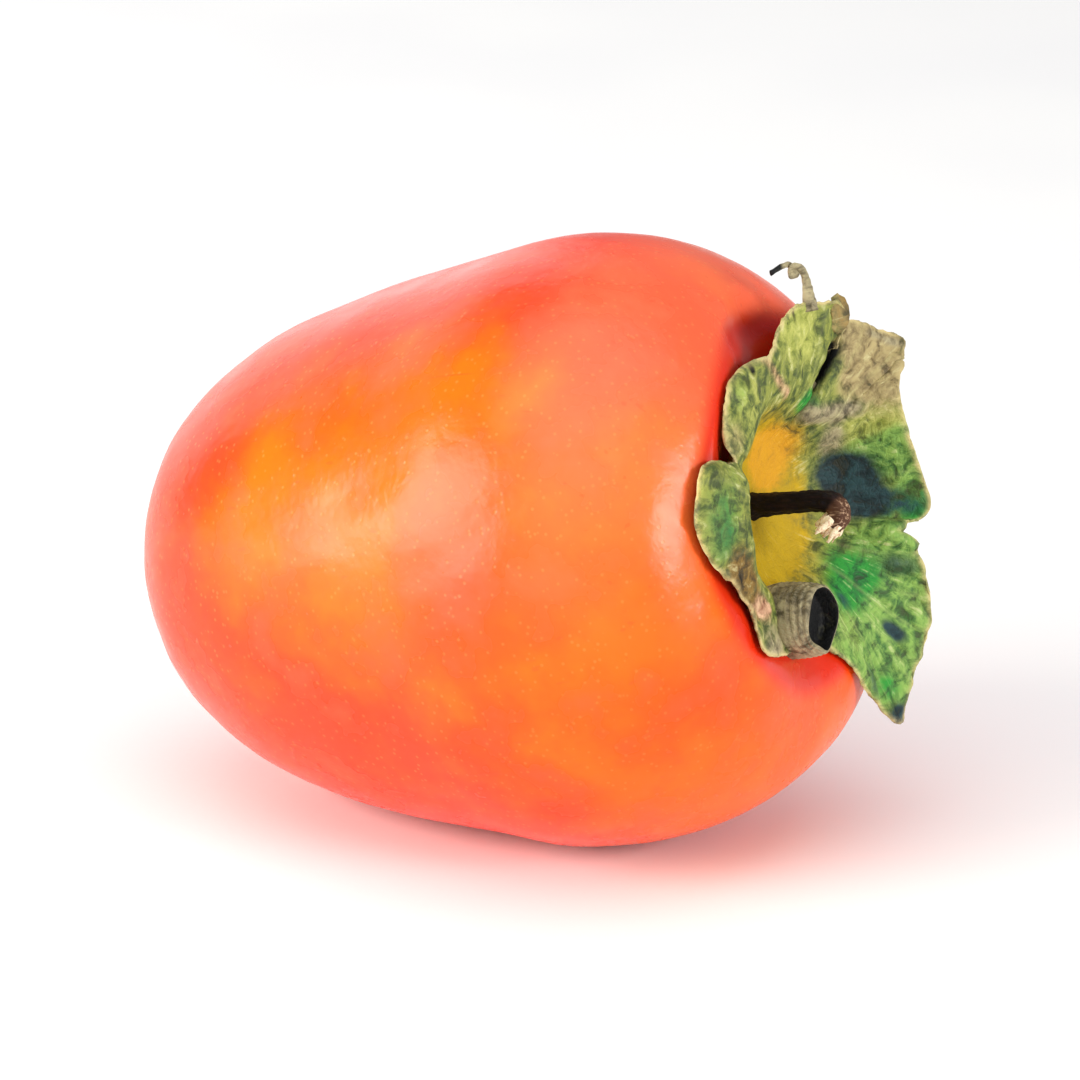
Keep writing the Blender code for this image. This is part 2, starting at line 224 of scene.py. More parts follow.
def ring_quads(rings: int, sides: int, first: int = 0, flip: bool = False) -> Faces:
    """Joins each ring of points to the next with four-sided faces.

    Args:
        rings: How many rings there are.
        sides: Points in each ring.
        first: Index of the first ring's first point.
        flip: Whether the faces turn the other way.

    Returns:
        The faces, as tuples of point indices.
    """
    faces = []
    for j in range(rings - 1):
        start = first + j * sides
        for i in range(sides):
            a = start + i
            b = start + (i + 1) % sides
            face = (a, b, b + sides, a + sides)
            faces.append(face[::-1] if flip else face)
    return faces


def fan(centre: int, first: int, sides: int, flip: bool = False) -> Faces:
    """Joins one point to the ring that starts at the index first, with triangles."""
    faces = [(centre, first + i, first + (i + 1) % sides) for i in range(sides)]
    return [face[::-1] for face in faces] if flip else faces


def capped(rings: np.ndarray, first: Sequence[float], last: Sequence[float]) -> tuple[np.ndarray, Faces]:
    """Skins a tube and closes each end with one point.

    Args:
        rings: The tube's points, rings by sides by three.
        first: The point that closes the first ring.
        last: The point that closes the last ring.

    Returns:
        The points, with the two closing ones last, and the faces.
    """
    count, sides = rings.shape[:2]
    end = count * sides
    faces = ring_quads(count, sides)
    faces += fan(end, 0, sides, flip=True)
    faces += fan(end + 1, end - sides, sides)
    return np.vstack([rings.reshape(-1, 3), [first], [last]]), faces


@dataclass
class Shell:
    """A closed skin: points in millimetres, faces, and marks that its finish reads."""

    points: np.ndarray
    faces: Faces
    marks: dict[str, np.ndarray]

    def toned(self, *tones: tuple[Tone, np.ndarray | float]) -> "Shell":
        """Adds tones, each with one strength for all points or one for each."""
        for tone, strength in tones:
            self.marks[tone.value] = np.broadcast_to(strength, len(self.points)).astype(float)
        return self


def joined(shells: Sequence[Shell]) -> Shell:
    """Puts shells together as one, with zeros where a shell lacks a mark.

    Args:
        shells: The shells.

    Returns:
        One shell with all their points, faces and marks.
    """
    names = {name for shell in shells for name in shell.marks}
    faces = []
    first = 0
    for shell in shells:
        faces += [tuple(first + index for index in face) for face in shell.faces]
        first += len(shell.points)
    marks = {}
    for name in sorted(names):
        marks[name] = np.concatenate([s.marks.get(name, np.zeros(len(s.points))) for s in shells])
    return Shell(np.vstack([shell.points for shell in shells]), faces, marks)


@dataclass(frozen=True)
class Lying:
    """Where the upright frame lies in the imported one."""

    turn: Matrix
    origin: Vector

    @classmethod
    def fitted(cls, points: np.ndarray, node: str) -> "Lying":
        """Lays upright points down so that their box is a node's box.

        Args:
            points: The node's points in the upright frame, in millimetres.
            node: The node's name.

        Returns:
            The fitted place.
        """
        turn = Matrix.Rotation(QUARTER_TURN - REST_TILT, 3, "Y")
        laid = points @ np.array(turn).T * MM
        low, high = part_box(node)
        origin = Vector((
            (low.x + high.x - laid[:, 0].min() - laid[:, 0].max()) / 2,
            (low.y + high.y - laid[:, 1].min() - laid[:, 1].max()) / 2,
            high.z - laid[:, 2].max(),
        ))
        return cls(turn, origin)

    def laid(self, points: np.ndarray) -> np.ndarray:
        """Turns upright points in millimetres into packed ones in metres."""
        return points @ np.array(self.turn).T * MM + np.array(self.origin)

    def down(self) -> np.ndarray:
        """Gives the direction of the floor, in the upright frame."""
        return np.array(self.turn.inverted() @ Vector((0, 0, -1)))

    def above_floor(self, points: np.ndarray) -> np.ndarray:
        """Gives how high upright points lie above the floor, in millimetres."""
        return self.origin.z / MM - points @ self.down()


def lay_piece(
    name: str, shell: Shell, lying: Lying, material: bpy.types.Material, slot: Slot, *nodes: str
) -> None:
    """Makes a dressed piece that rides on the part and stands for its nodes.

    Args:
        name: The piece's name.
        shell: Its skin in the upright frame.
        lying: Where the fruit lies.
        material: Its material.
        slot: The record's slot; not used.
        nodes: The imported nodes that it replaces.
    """
    mesh = bpy.data.meshes.new(name)
    mesh.from_pydata(lying.laid(shell.points).tolist(), [], shell.faces)
    mesh.shade_smooth()
    for mark, values in shell.marks.items():
        layer = mesh.attributes.new(mark, "FLOAT", "POINT")
        layer.data.foreach_set("value", values.astype(np.float32))
    mesh.materials.append(material)
    piece = bpy.data.objects.new(name, mesh)
    bpy.context.scene.collection.objects.link(piece)
    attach(piece, "root")
    if nodes:
        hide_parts(*nodes)
    log.info("%s: %d faces", name, len(shell.faces))


@dataclass(frozen=True)
class Noise:
    """A noise pattern: its largest blots in millimetres, how many finer layers, their strength, its stir."""

    size: float
    detail: float = 3.0
    roughness: float = 0.6
    distortion: float = 0.0


class Sheet:
    """One material's node tree, with short ways to lay out and join its nodes."""

    def __init__(self, name: str) -> None:
        """Starts a material with a Principled BSDF and the upright frame's coordinates."""
        self.material = bpy.data.materials.new(name)
        self.material.use_nodes = True
        self.nodes = self.material.node_tree.nodes
        self.links = self.material.node_tree.links
        self.shader = self.nodes["Principled BSDF"]
        upright = self.nodes.new("ShaderNodeMapping")
        upright.inputs["Rotation"].default_value = (0.0, REST_TILT - QUARTER_TURN, 0.0)
        self.links.new(self.nodes.new("ShaderNodeTexCoord").outputs["Object"], upright.inputs["Vector"])
        self.place = upright.outputs["Vector"]

    def _put(self, node: bpy.types.Node, key: int | str, value: object) -> None:
        """Joins or sets one input of a node."""
        if isinstance(value, bpy.types.NodeSocket):
            self.links.new(value, node.inputs[key])
        elif isinstance(value, tuple) and node.inputs[key].type == "RGBA":
            node.inputs[key].default_value = (*value, 1.0)
        else:
            node.inputs[key].default_value = value

    def mark(self, name: str) -> Socket:
        """Reads one of the mesh's marks."""
        node = self.nodes.new("ShaderNodeAttribute")
        node.attribute_name = name
        return node.outputs["Fac"]

    def fibre_place(self) -> Socket:
        """Reads the mesh's own coordinates, across and along its fibres."""
        node = self.nodes.new("ShaderNodeCombineXYZ")
        self.links.new(self.mark("across"), node.inputs["X"])
        self.links.new(self.mark("along"), node.inputs["Y"])
        return node.outputs["Vector"]

    def drawn_out(self, squeeze: float) -> Socket:
        """Gives the place squeezed along the fruit's axis, which draws a pattern out along it."""
        node = self.nodes.new("ShaderNodeMapping")
        self.links.new(self.place, node.inputs["Vector"])
        node.inputs["Scale"].default_value = (1.0, 1.0, squeeze)
        return node.outputs["Vector"]

    def noise(self, pattern: Noise, place: Optional[Socket] = None) -> Socket:
        """Lays a noise pattern over the piece.

        Args:
            pattern: The pattern.
            place: The coordinates to use, or the piece's own.

        Returns:
            The pattern's value, which mostly lies in NOISE_SPAN.
        """
        node = self.nodes.new("ShaderNodeTexNoise")
        self.links.new(place or self.place, node.inputs["Vector"])
        node.inputs["Scale"].default_value = 1 / (pattern.size * MM)
        node.inputs["Detail"].default_value = pattern.detail
        node.inputs["Roughness"].default_value = pattern.roughness
        node.inputs["Distortion"].default_value = pattern.distortion
        return node.outputs["Fac"]

    def cells(self, size: float, feature: str = "F1") -> Socket:
        """Lays a pattern of cells of this size in millimetres, and gives the distance in it."""
        node = self.nodes.new("ShaderNodeTexVoronoi")
        node.feature = feature
        self.links.new(self.place, node.inputs["Vector"])
        node.inputs["Scale"].default_value = 1 / (size * MM)
        return node.outputs["Distance"]

    def band(self, value: Socket, low: float, high: float, first: float = 0.0, last: float = 1.0) -> Socket:
        """Maps low to high onto first to last, with level ends."""
        node = self.nodes.new("ShaderNodeMapRange")
        node.interpolation_type = "SMOOTHSTEP"
        settings = {"Value": value, "From Min": low, "From Max": high, "To Min": first, "To Max": last}
        for key, setting in settings.items():
            self._put(node, key, setting)
        return node.outputs["Result"]

    def sum(self, first: Socket | float, second: Socket | float, operation: str = "ADD") -> Socket:
        """Works out one sum on two values."""
        node = self.nodes.new("ShaderNodeMath")
        node.operation = operation
        self._put(node, 0, first)
        self._put(node, 1, second)
        return node.outputs["Value"]

    def times(self, first: Socket | float, second: Socket | float) -> Socket:
        """Multiplies two values."""
        return self.sum(first, second, "MULTIPLY")

    def mix(self, first: Socket, first_share: float, second: Socket, second_share: float) -> Socket:
        """Adds two values, each times its share."""
        return self.sum(self.times(first, first_share), self.times(second, second_share))

    def swing(self, pattern: Socket, strength: Socket | float) -> Socket:
        """Gives how far a pattern is from its middle, times a strength."""
        return self.times(self.sum(pattern, -0.5), strength)

    def blend(self, share: Socket | float, first: Socket | Colour, second: Socket | Colour) -> Socket:
        """Mixes two colours: the first where the share is 0, the second where it is 1."""
        node = self.nodes.new("ShaderNodeMix")
        node.data_type = "RGBA"
        self._put(node, 0, share)
        self._put(node, 6, first)
        self._put(node, 7, second)
        return node.outputs[2]

    def bump(self, height: Socket, depth: float, under: Optional[Socket] = None) -> Socket:
        """Raises the surface by a pattern, to this depth in millimetres, over an earlier bump."""
        node = self.nodes.new("ShaderNodeBump")
        node.inputs["Distance"].default_value = depth * MM
        self.links.new(height, node.inputs["Height"])
        if under is not None:
            self.links.new(under, node.inputs["Normal"])
        return node.outputs["Normal"]

    def finished(
        self, colour: Socket, roughness: Socket, normal: Socket, **settings: float | Colour
    ) -> bpy.types.Material:
        """Joins the patterns to the shader and sets its own sockets.

        Args:
            colour: The base colour.
            roughness: The roughness.
            normal: The bumped normal.
            settings: Values for further sockets, named with underscores for spaces.

        Returns:
            The finished material.
        """
        for name, source in {"Base Color": colour, "Roughness": roughness, "Normal": normal}.items():
            self.links.new(source, self.shader.inputs[name])
        for name, value in settings.items():
            self.shader.inputs[name.replace("_", " ")].default_value = value
        return self.material


@dataclass(frozen=True)
class RipeSkin:
    """The fruit's waxy skin: orange, blushing red, with a pale bloom, fine pores and faint scratches, painted
    sheen on its upper side and painted shade round the calyx and in the furrow.
    """

    orange: Colour = screen(252, 102, 0)
    deep_orange: Colour = screen(249, 84, 0)
    blush: Colour = screen(243, 55, 12)
    # Painted shade: the dark red round the calyx's edge.
    calyx_shade_red: Colour = screen(214, 34, 12)
    # Painted shade: the dark red in the furrow beside the calyx.
    furrow_shade_red: Colour = screen(156, 2, 1)
    # Pale bloom; on the upper side it also serves as painted sheen.
    bloom: Colour = screen(255, 160, 112)
    pore: Colour = screen(255, 176, 96)
    stain: Colour = screen(190, 60, 24)
    # Each pattern's span is where it sets in and is full, its share how much of its colour it gives.
    patches: Noise = Noise(26.0, 1.0, 0.5, 0.3)
    patch_share: float = 0.55
    clouds: Noise = Noise(8.0, 3.0, 0.55)
    orange_span: Span = (0.38, 0.60)
    blush_swing: float = 2.2
    blush_span: Span = (0.05, 1.05)
    haze_span: Span = (0.5, 0.72)
    haze_share: float = 0.08
    pore_size: float = 1.1
    pore_span: Span = (0.1, 0.26)
    pore_share: float = 0.14
    pore_depth: float = 0.2
    scratches: Noise = Noise(0.9, 1.0, 0.5)
    scratch_squeeze: float = 0.08
    scratch_span: Span = (0.70, 0.77)
    scratch_share: float = 0.25
    roughness: Span = (0.20, 0.31)
    grain: Noise = Noise(1.4, 2.0, 0.5)
    relief: float = 0.05

    def material(self) -> bpy.types.Material:
        """Lays out the skin's nodes.

        Returns:
            The finished material.
        """
        sheet = Sheet("ripe_skin")
        clouds = sheet.noise(self.clouds)
        tone = sheet.mix(sheet.noise(self.patches), self.patch_share, clouds, 1 - self.patch_share)
        colour = sheet.blend(sheet.band(tone, *self.orange_span), self.orange, self.deep_orange)
        blush = sheet.sum(sheet.mark("blush"), sheet.swing(tone, self.blush_swing))
        colour = sheet.blend(sheet.band(blush, *self.blush_span), colour, self.blush)
        # Pale bloom with painted sheen on the upper side, towards the calyx.
        colour = sheet.blend(sheet.mark("bloom"), colour, self.bloom)
        colour = sheet.blend(sheet.band(clouds, *self.haze_span, 0.0, self.haze_share), colour, self.bloom)
        pores = sheet.band(sheet.cells(self.pore_size), *self.pore_span, 1.0, 0.0)
        colour = sheet.blend(sheet.times(pores, self.pore_share), colour, self.pore)
        scratches = sheet.noise(self.scratches, sheet.drawn_out(self.scratch_squeeze))
        scratches = sheet.band(scratches, *self.scratch_span, 0.0, self.scratch_share)
        colour = sheet.blend(scratches, colour, self.stain)
        # Painted shade round the calyx.
        colour = sheet.blend(sheet.mark("contact"), colour, self.calyx_shade_red)
        # Painted shade in the furrow.
        colour = sheet.blend(sheet.mark("groove"), colour, self.furrow_shade_red)
        height = sheet.sum(sheet.noise(self.grain), sheet.times(pores, -self.pore_depth))
        return sheet.finished(
            colour,
            sheet.band(clouds, *NOISE_SPAN, *self.roughness),
            sheet.bump(height, self.relief),
            Specular_IOR_Level=0.3,
            Subsurface_Weight=0.04,
            Subsurface_Radius=(0.9, 0.3, 0.1),
            Subsurface_Scale=0.003,
        )


@dataclass(frozen=True)
class CalyxLeaf:
    """The calyx's leathery leaf: olive green toned by the mesh's marks, with fibres and a pale edge; its
    black and bruise tones also paint shade.
    """

    olive: Colour = screen(146, 152, 70)
    shade: Colour = screen(72, 88, 40)
    # Each tone's dark and light colour, in the order in which they are laid over each other.
    tones: tuple = (
        (Tone.PALE, screen(132, 142, 56), screen(184, 186, 96)),
        (Tone.FRESH, screen(56, 104, 44), screen(138, 176, 84)),
        (Tone.DEEP, screen(16, 84, 36), screen(48, 146, 54)),
        (Tone.DRY, screen(120, 102, 66), screen(180, 162, 112)),
        (Tone.GREY, screen(92, 82, 62), screen(170, 158, 122)),
        (Tone.GOLDEN, screen(160, 132, 6), screen(204, 166, 20)),
        (Tone.AMBER, screen(206, 142, 12), screen(228, 168, 34)),
        (Tone.BROWN, screen(66, 50, 20), screen(138, 108, 50)),
        (Tone.ROSY, screen(150, 100, 72), screen(220, 176, 140)),
        # Bruise: dark blotches, and painted shade in the lobes' hollows.
        (Tone.BRUISE, screen(12, 30, 34), screen(40, 68, 72)),
        # Black: dark spots, and painted shade in slits and inside the rolled tube.
        (Tone.BLACK, screen(1, 1, 2), screen(5, 6, 6)),
    )
    vein: Colour = screen(206, 204, 136)
    edge: Colour = screen(216, 196, 138)
    speck: Colour = screen(52, 50, 28)
    glint: Colour = screen(226, 222, 168)
    mottle: Noise = Noise(1.9, 4.0, 0.65, 0.6)
    mottle_share: float = 0.7
    blots: Noise = Noise(5.0, 3.0, 0.6, 0.4)
    fibres: Noise = Noise(0.55)
    # How much the patterns stir the borders of the tones, and the strengths over which a tone sets in.
    stir: float = 1.6
    stir_offset: float = -0.6
    tone_span: Span = (0.12, 0.85)
    olive_span: Span = (0.40, 0.60)
    toned_span: Span = (0.38, 0.60)
    # Where the disc's golden tone makes the leaf plain, what stays of its patterns, and where its black and
    # bruise tones, dark blotches and painted shade, count as dark.
    plain_span: Span = (0.3, 1.0)
    plain_rest: float = 0.2
    blotch_and_shade_span: Span = (0.1, 0.4)
    vein_share: float = 0.13
    speck_span: Span = (0.32, 0.43)
    speck_share: float = 0.5
    glint_fibre_span: Span = (0.54, 0.68)
    glint_mottle_span: Span = (0.48, 0.60)
    glint_share: float = 0.45
    edge_span: Span = (0.34, 0.6)
    edge_shares: Span = (0.2, 0.85)
    roughness: Span = (0.52, 0.78)
    relief: float = 0.4
    net_size: float = 0.8
    net_span: Span = (0.0, 0.2)
    net_relief: float = 0.03

    def material(self) -> bpy.types.Material:
        """Lays out the leaf's nodes.

        Returns:
            The finished material.
        """
        sheet = Sheet("calyx_leaf")
        mottle = sheet.noise(self.mottle)
        fibres = sheet.noise(self.fibres, sheet.fibre_place())
        stir = sheet.mix(sheet.noise(self.blots), self.stir, mottle, self.stir)
        stir = sheet.sum(stir, self.stir_offset)
        plain = sheet.band(sheet.mark(Tone.GOLDEN.value), *self.plain_span, 1.0, self.plain_rest)
        worn = sheet.mix(mottle, self.mottle_share, fibres, 1 - self.mottle_share)
        worn = sheet.sum(0.5, sheet.swing(worn, plain))
        # Dark blotches and painted shade, from the black and bruise tones.
        blotch_and_shade = sheet.sum(sheet.mark(Tone.BLACK.value), sheet.mark(Tone.BRUISE.value))
        clean = sheet.band(blotch_and_shade, *self.blotch_and_shade_span, 1.0, 0.0)
        colour = sheet.blend(sheet.band(worn, *self.olive_span), self.shade, self.olive)
        for tone, dark, light in self.tones:
            toned = sheet.blend(sheet.band(worn, *self.toned_span), dark, light)
            share = sheet.band(sheet.times(sheet.mark(tone.value), stir), *self.tone_span)
            colour = sheet.blend(share, colour, toned)
        veins = sheet.times(sheet.times(sheet.mark("vein"), self.vein_share), clean)
        colour = sheet.blend(veins, colour, self.vein)
        specks = sheet.times(sheet.band(mottle, *self.speck_span, self.speck_share, 0.0), plain)
        colour = sheet.blend(specks, colour, self.speck)
        glints = sheet.band(mottle, *self.glint_mottle_span, 0.0, self.glint_share)
        glints = sheet.times(sheet.band(fibres, *self.glint_fibre_span), glints)
        glints = sheet.times(sheet.times(glints, plain), clean)
        colour = sheet.blend(glints, colour, self.glint)
        edge = sheet.times(sheet.mark("edge"), sheet.band(mottle, *self.edge_span, *self.edge_shares))
        colour = sheet.blend(edge, colour, self.edge)
        net = sheet.band(sheet.cells(self.net_size, "DISTANCE_TO_EDGE"), *self.net_span)
        relief = sheet.bump(net, self.net_relief, sheet.bump(worn, self.relief))
        roughness = sheet.band(mottle, *NOISE_SPAN, *self.roughness)
        return sheet.finished(colour, roughness, relief, Specular_IOR_Level=0.3)


@dataclass(frozen=True)
class StemBark:
    """The stem's nearly black bark, brown where it bends, that brown partly painted light on the lit end."""

    dark: Colour = screen(12, 3, 5)
    dusk: Colour = screen(34, 16, 14)
    brown: Colour = screen(84, 54, 38)
    worn: Colour = screen(178, 144, 114)
    fibres: Noise = Noise(0.35)
    squeeze: float = 0.12
    blots: Noise = Noise(1.6, 3.0, 0.5)
    dusk_span: Span = (0.45, 0.72)
    blot_swing: float = 0.9
    brown_span: Span = (0.3, 0.85)
    worn_fibre_span: Span = (0.5, 0.66)
    worn_age_span: Span = (0.5, 1.0)
    roughness: Span = (0.62, 0.86)
    relief: float = 0.18

    def material(self) -> bpy.types.Material:
        """Lays out the bark's nodes.

        Returns:
            The finished material.
        """
        sheet = Sheet("stem_bark")
        fibres = sheet.noise(self.fibres, sheet.drawn_out(self.squeeze))
        blots = sheet.noise(self.blots)
        colour = sheet.blend(sheet.band(fibres, *self.dusk_span), self.dark, self.dusk)
        # The bend's brown: the bark's own colour and painted light on the lit end.
        brown_and_lit = sheet.sum(sheet.mark("bent"), sheet.swing(blots, self.blot_swing))
        colour = sheet.blend(sheet.band(brown_and_lit, *self.brown_span), colour, self.brown)
        worn = sheet.times(sheet.band(fibres, *self.worn_fibre_span), sheet.band(brown_and_lit, *self.worn_age_span))
        colour = sheet.blend(worn, colour, self.worn)
        roughness = sheet.band(blots, *NOISE_SPAN, *self.roughness)
        return sheet.finished(colour, roughness, sheet.bump(fibres, self.relief), Specular_IOR_Level=0.2)


@dataclass(frozen=True)
class TwoTone:
    """A plain finish, in which one pattern runs between two colours and moves the roughness and relief."""

    name: str
    first: Colour
    second: Colour
    pattern: Noise
    span: Span
    roughness: Span
    grain: Optional[Noise] = None
    relief: float = 0.1
    squeeze: float = 1.0
    specular: float = 0.5

    def material(self) -> bpy.types.Material:
        """Lays out the finish's nodes.

        Returns:
            The finished material.
        """
        sheet = Sheet(self.name)
        pattern = sheet.noise(self.pattern, sheet.drawn_out(self.squeeze))
        colour = sheet.blend(sheet.band(pattern, *self.span), self.first, self.second)
        roughness = sheet.band(pattern, *NOISE_SPAN, *self.roughness)
        height = sheet.noise(self.grain) if self.grain else pattern
        normal = sheet.bump(height, self.relief)
        return sheet.finished(colour, roughness, normal, Specular_IOR_Level=self.specular)


# The pale fibres where the stem was broken off.
BROKEN_WOOD = TwoTone(
    name="broken_wood",
    first=screen(252, 234, 198),
    second=screen(218, 176, 140),
    pattern=Noise(0.5, distortion=0.5),
    span=(0.46, 0.66),
    roughness=(0.6, 0.85),
)
# The nearly black remnant of the style.
DRY_STYLE = TwoTone(
    name="dry_style",
    first=screen(34, 24, 20),
    second=screen(78, 56, 40),
    pattern=Noise(0.3),
    span=(0.4, 0.7),
    roughness=(0.7, 0.9),
    squeeze=0.3,
)
# The studio's plain pale floor.
PALE_FLOOR = TwoTone(
    name="pale_floor",
    first=screen(248, 248, 248),
    second=screen(244, 244, 245),
    pattern=Noise(40.0, 0.0, 0.5),
    span=NOISE_SPAN,
    roughness=(0.6, 0.7),
    grain=Noise(0.8, 0.0, 0.5),
    relief=0.01,
    specular=0.2,
)


@dataclass
class Fruit:
    """The fruit: a cone-shaped body with a basin at its calyx end and a furrow across the basin's rim."""

    # The turned outline, from the tip to the middle of the basin: height along the axis, radius.
    profile: tuple = (
        (-47.0, 0.0), (-45.4, 9.4), (-38.4, 20.1), (-27.5, 27.5), (-14.5, 32.0),
        (-1.0, 34.9), (12.0, 37.1), (23.5, 35.9), (33.0, 31.5), (38.0, 26.4),
        (40.0, 21.5), (38.8, 17.0), (35.8, 11.5), (33.6, 6.0), (33.0, 0.0),
    )
    # The stations of the profile over which the shoulder and the basin set in.
    shoulder_stations: tuple[int, int] = (6, 9)
    basin_stations: tuple[int, int] = (8, 11)
    packed_steps: int = 3
    packed_sides: int = 52
    steps: int = 13
    sides: int = 400
    squareness: float = 0.014
    basin_side: float = math.radians(164)
    basin_shift: float = 3.0
    shoulder_lean: float = 0.035
    furrow_side: float = math.radians(176)
    furrow_width: float = math.radians(18)
    furrow_radius: float = 22.5
    furrow_reach: float = 4.0
    furrow_depth: float = 2.4
    rim_radius: float = 21.5
    rim_reach: float = 7.0
    rim_dip: float = 0.6
    # Fine relief: wavelength and depth of each swell, and the puckers round the tip.
    swells: tuple = ((19.0, 0.09), (7.0, 0.025), (2.6, 0.008))
    swell_seed: int = 11
    pucker_depth: float = 0.16
    pucker_reach: float = 3.4
    pucker_count: int = 9
    pucker_waver: tuple[float, float, float] = (0.6, 2, 0.0)
    # The middles of the orange cheeks, and how far they reach, as cosines on the body scaled to a ball.
    body_scale: tuple[float, float, float] = (37.0, 37.0, 45.0)
    cheeks: tuple = ((0.0, -0.75, 0.66), (-0.42, -0.90, 0.05), (0.5, -0.18, 0.85), (0.10, 0.90, -0.15))
    cheek_reach: Span = (0.66, 1.02)
    # The pale bloom, with painted sheen, lies high up and away from the floor; the painted shade's dark red
    # lies round the calyx.
    bloom_and_sheen_share: float = 0.25
    bloom_and_sheen_heights: Span = (16.0, 28.0)
    bloom_and_sheen_sides: Span = (8.0, -16.0)
    shoulder_heights: Span = (22.0, 30.0)
    calyx_shade_share: float = 0.9
    calyx_shade_reach: Span = (21.5, 24.2)
    # The furrow's painted shade, dark red, which lies a little outside it and to one side of it.
    groove_share: float = 0.95
    groove_reach: Span = (4.5, 2.6)
    groove_shift: float = 1.0
    groove_turn: float = 0.24
    groove_widening: float = 1.05

    def surface(self, steps: int, sides: int) -> np.ndarray:
        """Works out the smooth surface.

        Args:
            steps: Rings for each station of the profile.
            sides: Points in each ring.

        Returns:
            Rings by sides by three values, in millimetres; the first and last ring are single points.
        """
        tip_side = (self.profile[1][0], -self.profile[1][1])
        floor_side = (self.profile[-2][0], -self.profile[-2][1])
        line = smooth_path((tip_side, *self.profile, floor_side), steps)[steps:-steps]
        angles = np.arange(sides) * FULL_TURN / sides
        widest = max(radius for _, radius in self.profile)
        from_furrow = self._from_furrow(angles)
        rings = np.empty((len(line), sides, 3))
        for index, (height, radius) in enumerate(line):
            shoulder = eased(index / steps, *self.shoulder_stations)
            shift = self.basin_shift * eased(index / steps, *self.basin_stations)
            reach = radius * (1 - self.squareness * (radius / widest) ** 2 * np.cos(LOBES * angles))
            lean = self.shoulder_lean * shoulder * reach * np.cos(angles - self.basin_side)
            furrow = self.furrow_depth * bell(from_furrow, self.furrow_width)
            furrow *= bell(radius - self.furrow_radius, self.furrow_reach)
            dips = self.rim_dip * np.cos(LOBES * from_furrow) * bell(radius - self.rim_radius, self.rim_reach)
            rings[index, :, 0] = reach * np.cos(angles) + shift * math.cos(self.basin_side)
            rings[index, :, 1] = reach * np.sin(angles) + shift * math.sin(self.basin_side)
            rings[index, :, 2] = height - lean - shoulder * (furrow + dips)
        return rings

    def _from_furrow(self, angles: np.ndarray) -> np.ndarray:
        """Gives how far round from the furrow each angle is."""
        return np.remainder(angles - self.furrow_side + math.pi, FULL_TURN) - math.pi

    def basin_centre(self) -> np.ndarray:
        """Gives the middle of the basin floor, in millimetres."""
        side = np.array([math.cos(self.basin_side), math.sin(self.basin_side), 0.0])
        return side * self.basin_shift + np.array([0.0, 0.0, self.profile[-1][0]])

    def lying(self) -> Lying:
        """Finds where the fruit lies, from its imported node."""
        return Lying.fitted(self.surface(self.packed_steps, self.packed_sides).reshape(-1, 3), "fruit")

    def _relief(self, rings: np.ndarray) -> np.ndarray:
        """Works out how far the skin stands proud of the smooth surface.

        Args:
            rings: The smooth surface.

        Returns:
            The height of each place above it in millimetres, level where a ring is a single point.
        """
        x, y, z = np.moveaxis(rings, -1, 0)
        out, turn = np.hypot(x, y), np.arctan2(y, x)
        pucker = 0.5 + 0.5 * np.cos(self.pucker_count * turn + ripples(turn, self.pucker_waver))
        pucker *= (z < 0) * bell(out, self.pucker_reach) * np.minimum(out, 1.0)
        proud = swells(rings, self.swells, self.swell_seed) - self.pucker_depth * pucker
        for end in (0, -1):
            proud[end] = proud[end].mean()
        return proud

    def _marks(self, rings: np.ndarray) -> dict[str, np.ndarray]:
        """Works out what the skin's finish reads.

        Args:
            rings: The smooth surface.

        Returns:
            How much each place blushes, has bloom and painted sheen, and takes painted shade next to the
            calyx and in the furrow.
        """
        x, y, z = np.moveaxis(rings, -1, 0)
        direction = rings / np.array(self.body_scale)
        direction /= np.maximum(np.linalg.norm(direction, axis=-1, keepdims=True), LEAST_LENGTH)
        poles = [np.array(cheek) / np.linalg.norm(cheek) for cheek in self.cheeks]
        nearest = np.max([direction @ pole for pole in poles], axis=0)
        offset = rings - self.basin_centre()
        from_calyx = np.hypot(offset[..., 0], offset[..., 1])
        high = eased(z, *self.shoulder_heights)
        beyond = np.hypot(x, y) - self.furrow_radius - self.groove_shift
        groove = bell(beyond, np.where(beyond < 0, *self.groove_reach))
        aside = self._from_furrow(np.arctan2(y, x)) + self.groove_turn
        groove *= bell(aside, self.groove_widening * self.furrow_width)
        return {
            "blush": 1 - eased(nearest, *self.cheek_reach),
            # Bloom, with painted sheen on the upper side.
            "bloom": self.bloom_and_sheen_share * eased(z, *self.bloom_and_sheen_heights) * eased(x, *self.bloom_and_sheen_sides),
            # Painted shade round the calyx's edge.
            "contact": self.calyx_shade_share * high * (1 - eased(from_calyx, *self.calyx_shade_reach)),
            # Painted shade in the furrow.
            "groove": self.groove_share * high * groove,
        }

    def build(self, lying: Lying) -> None:
        """Builds and dresses the fruit.

        Args:
            lying: Where the fruit lies.
        """
        rings = self.surface(self.steps, self.sides)
        normals = -grid_normals(rings.transpose(1, 0, 2)).transpose(1, 0, 2)
        normals[0] = (0, 0, -1)
        normals[-1] = (0, 0, 1)
        skin = rings + normals * self._relief(rings)[..., None]
        sunk = np.minimum(lying.above_floor(skin), 0.0)
        skin += sunk[..., None] * lying.down()
        points, faces = capped(skin[1:-1], skin[0, 0], skin[-1, 0])
        marks = {}
        for name, mark in self._marks(rings).items():
            marks[name] = np.r_[mark[1:-1].ravel(), mark[0, 0], mark[-1, 0]]
        shell = Shell(points, faces, marks)
        lay_piece("persimmon_fruit", shell, lying, RipeSkin().material(), Slot.SKIN, "fruit")


def in_plan(clock: float, radius: float) -> np.ndarray:
    """Gives the place in the calyx clock's plan at an angle in degrees and a radius."""
    angle = math.radians(clock)
    return np.array([math.cos(angle), math.sin(angle)]) * radius


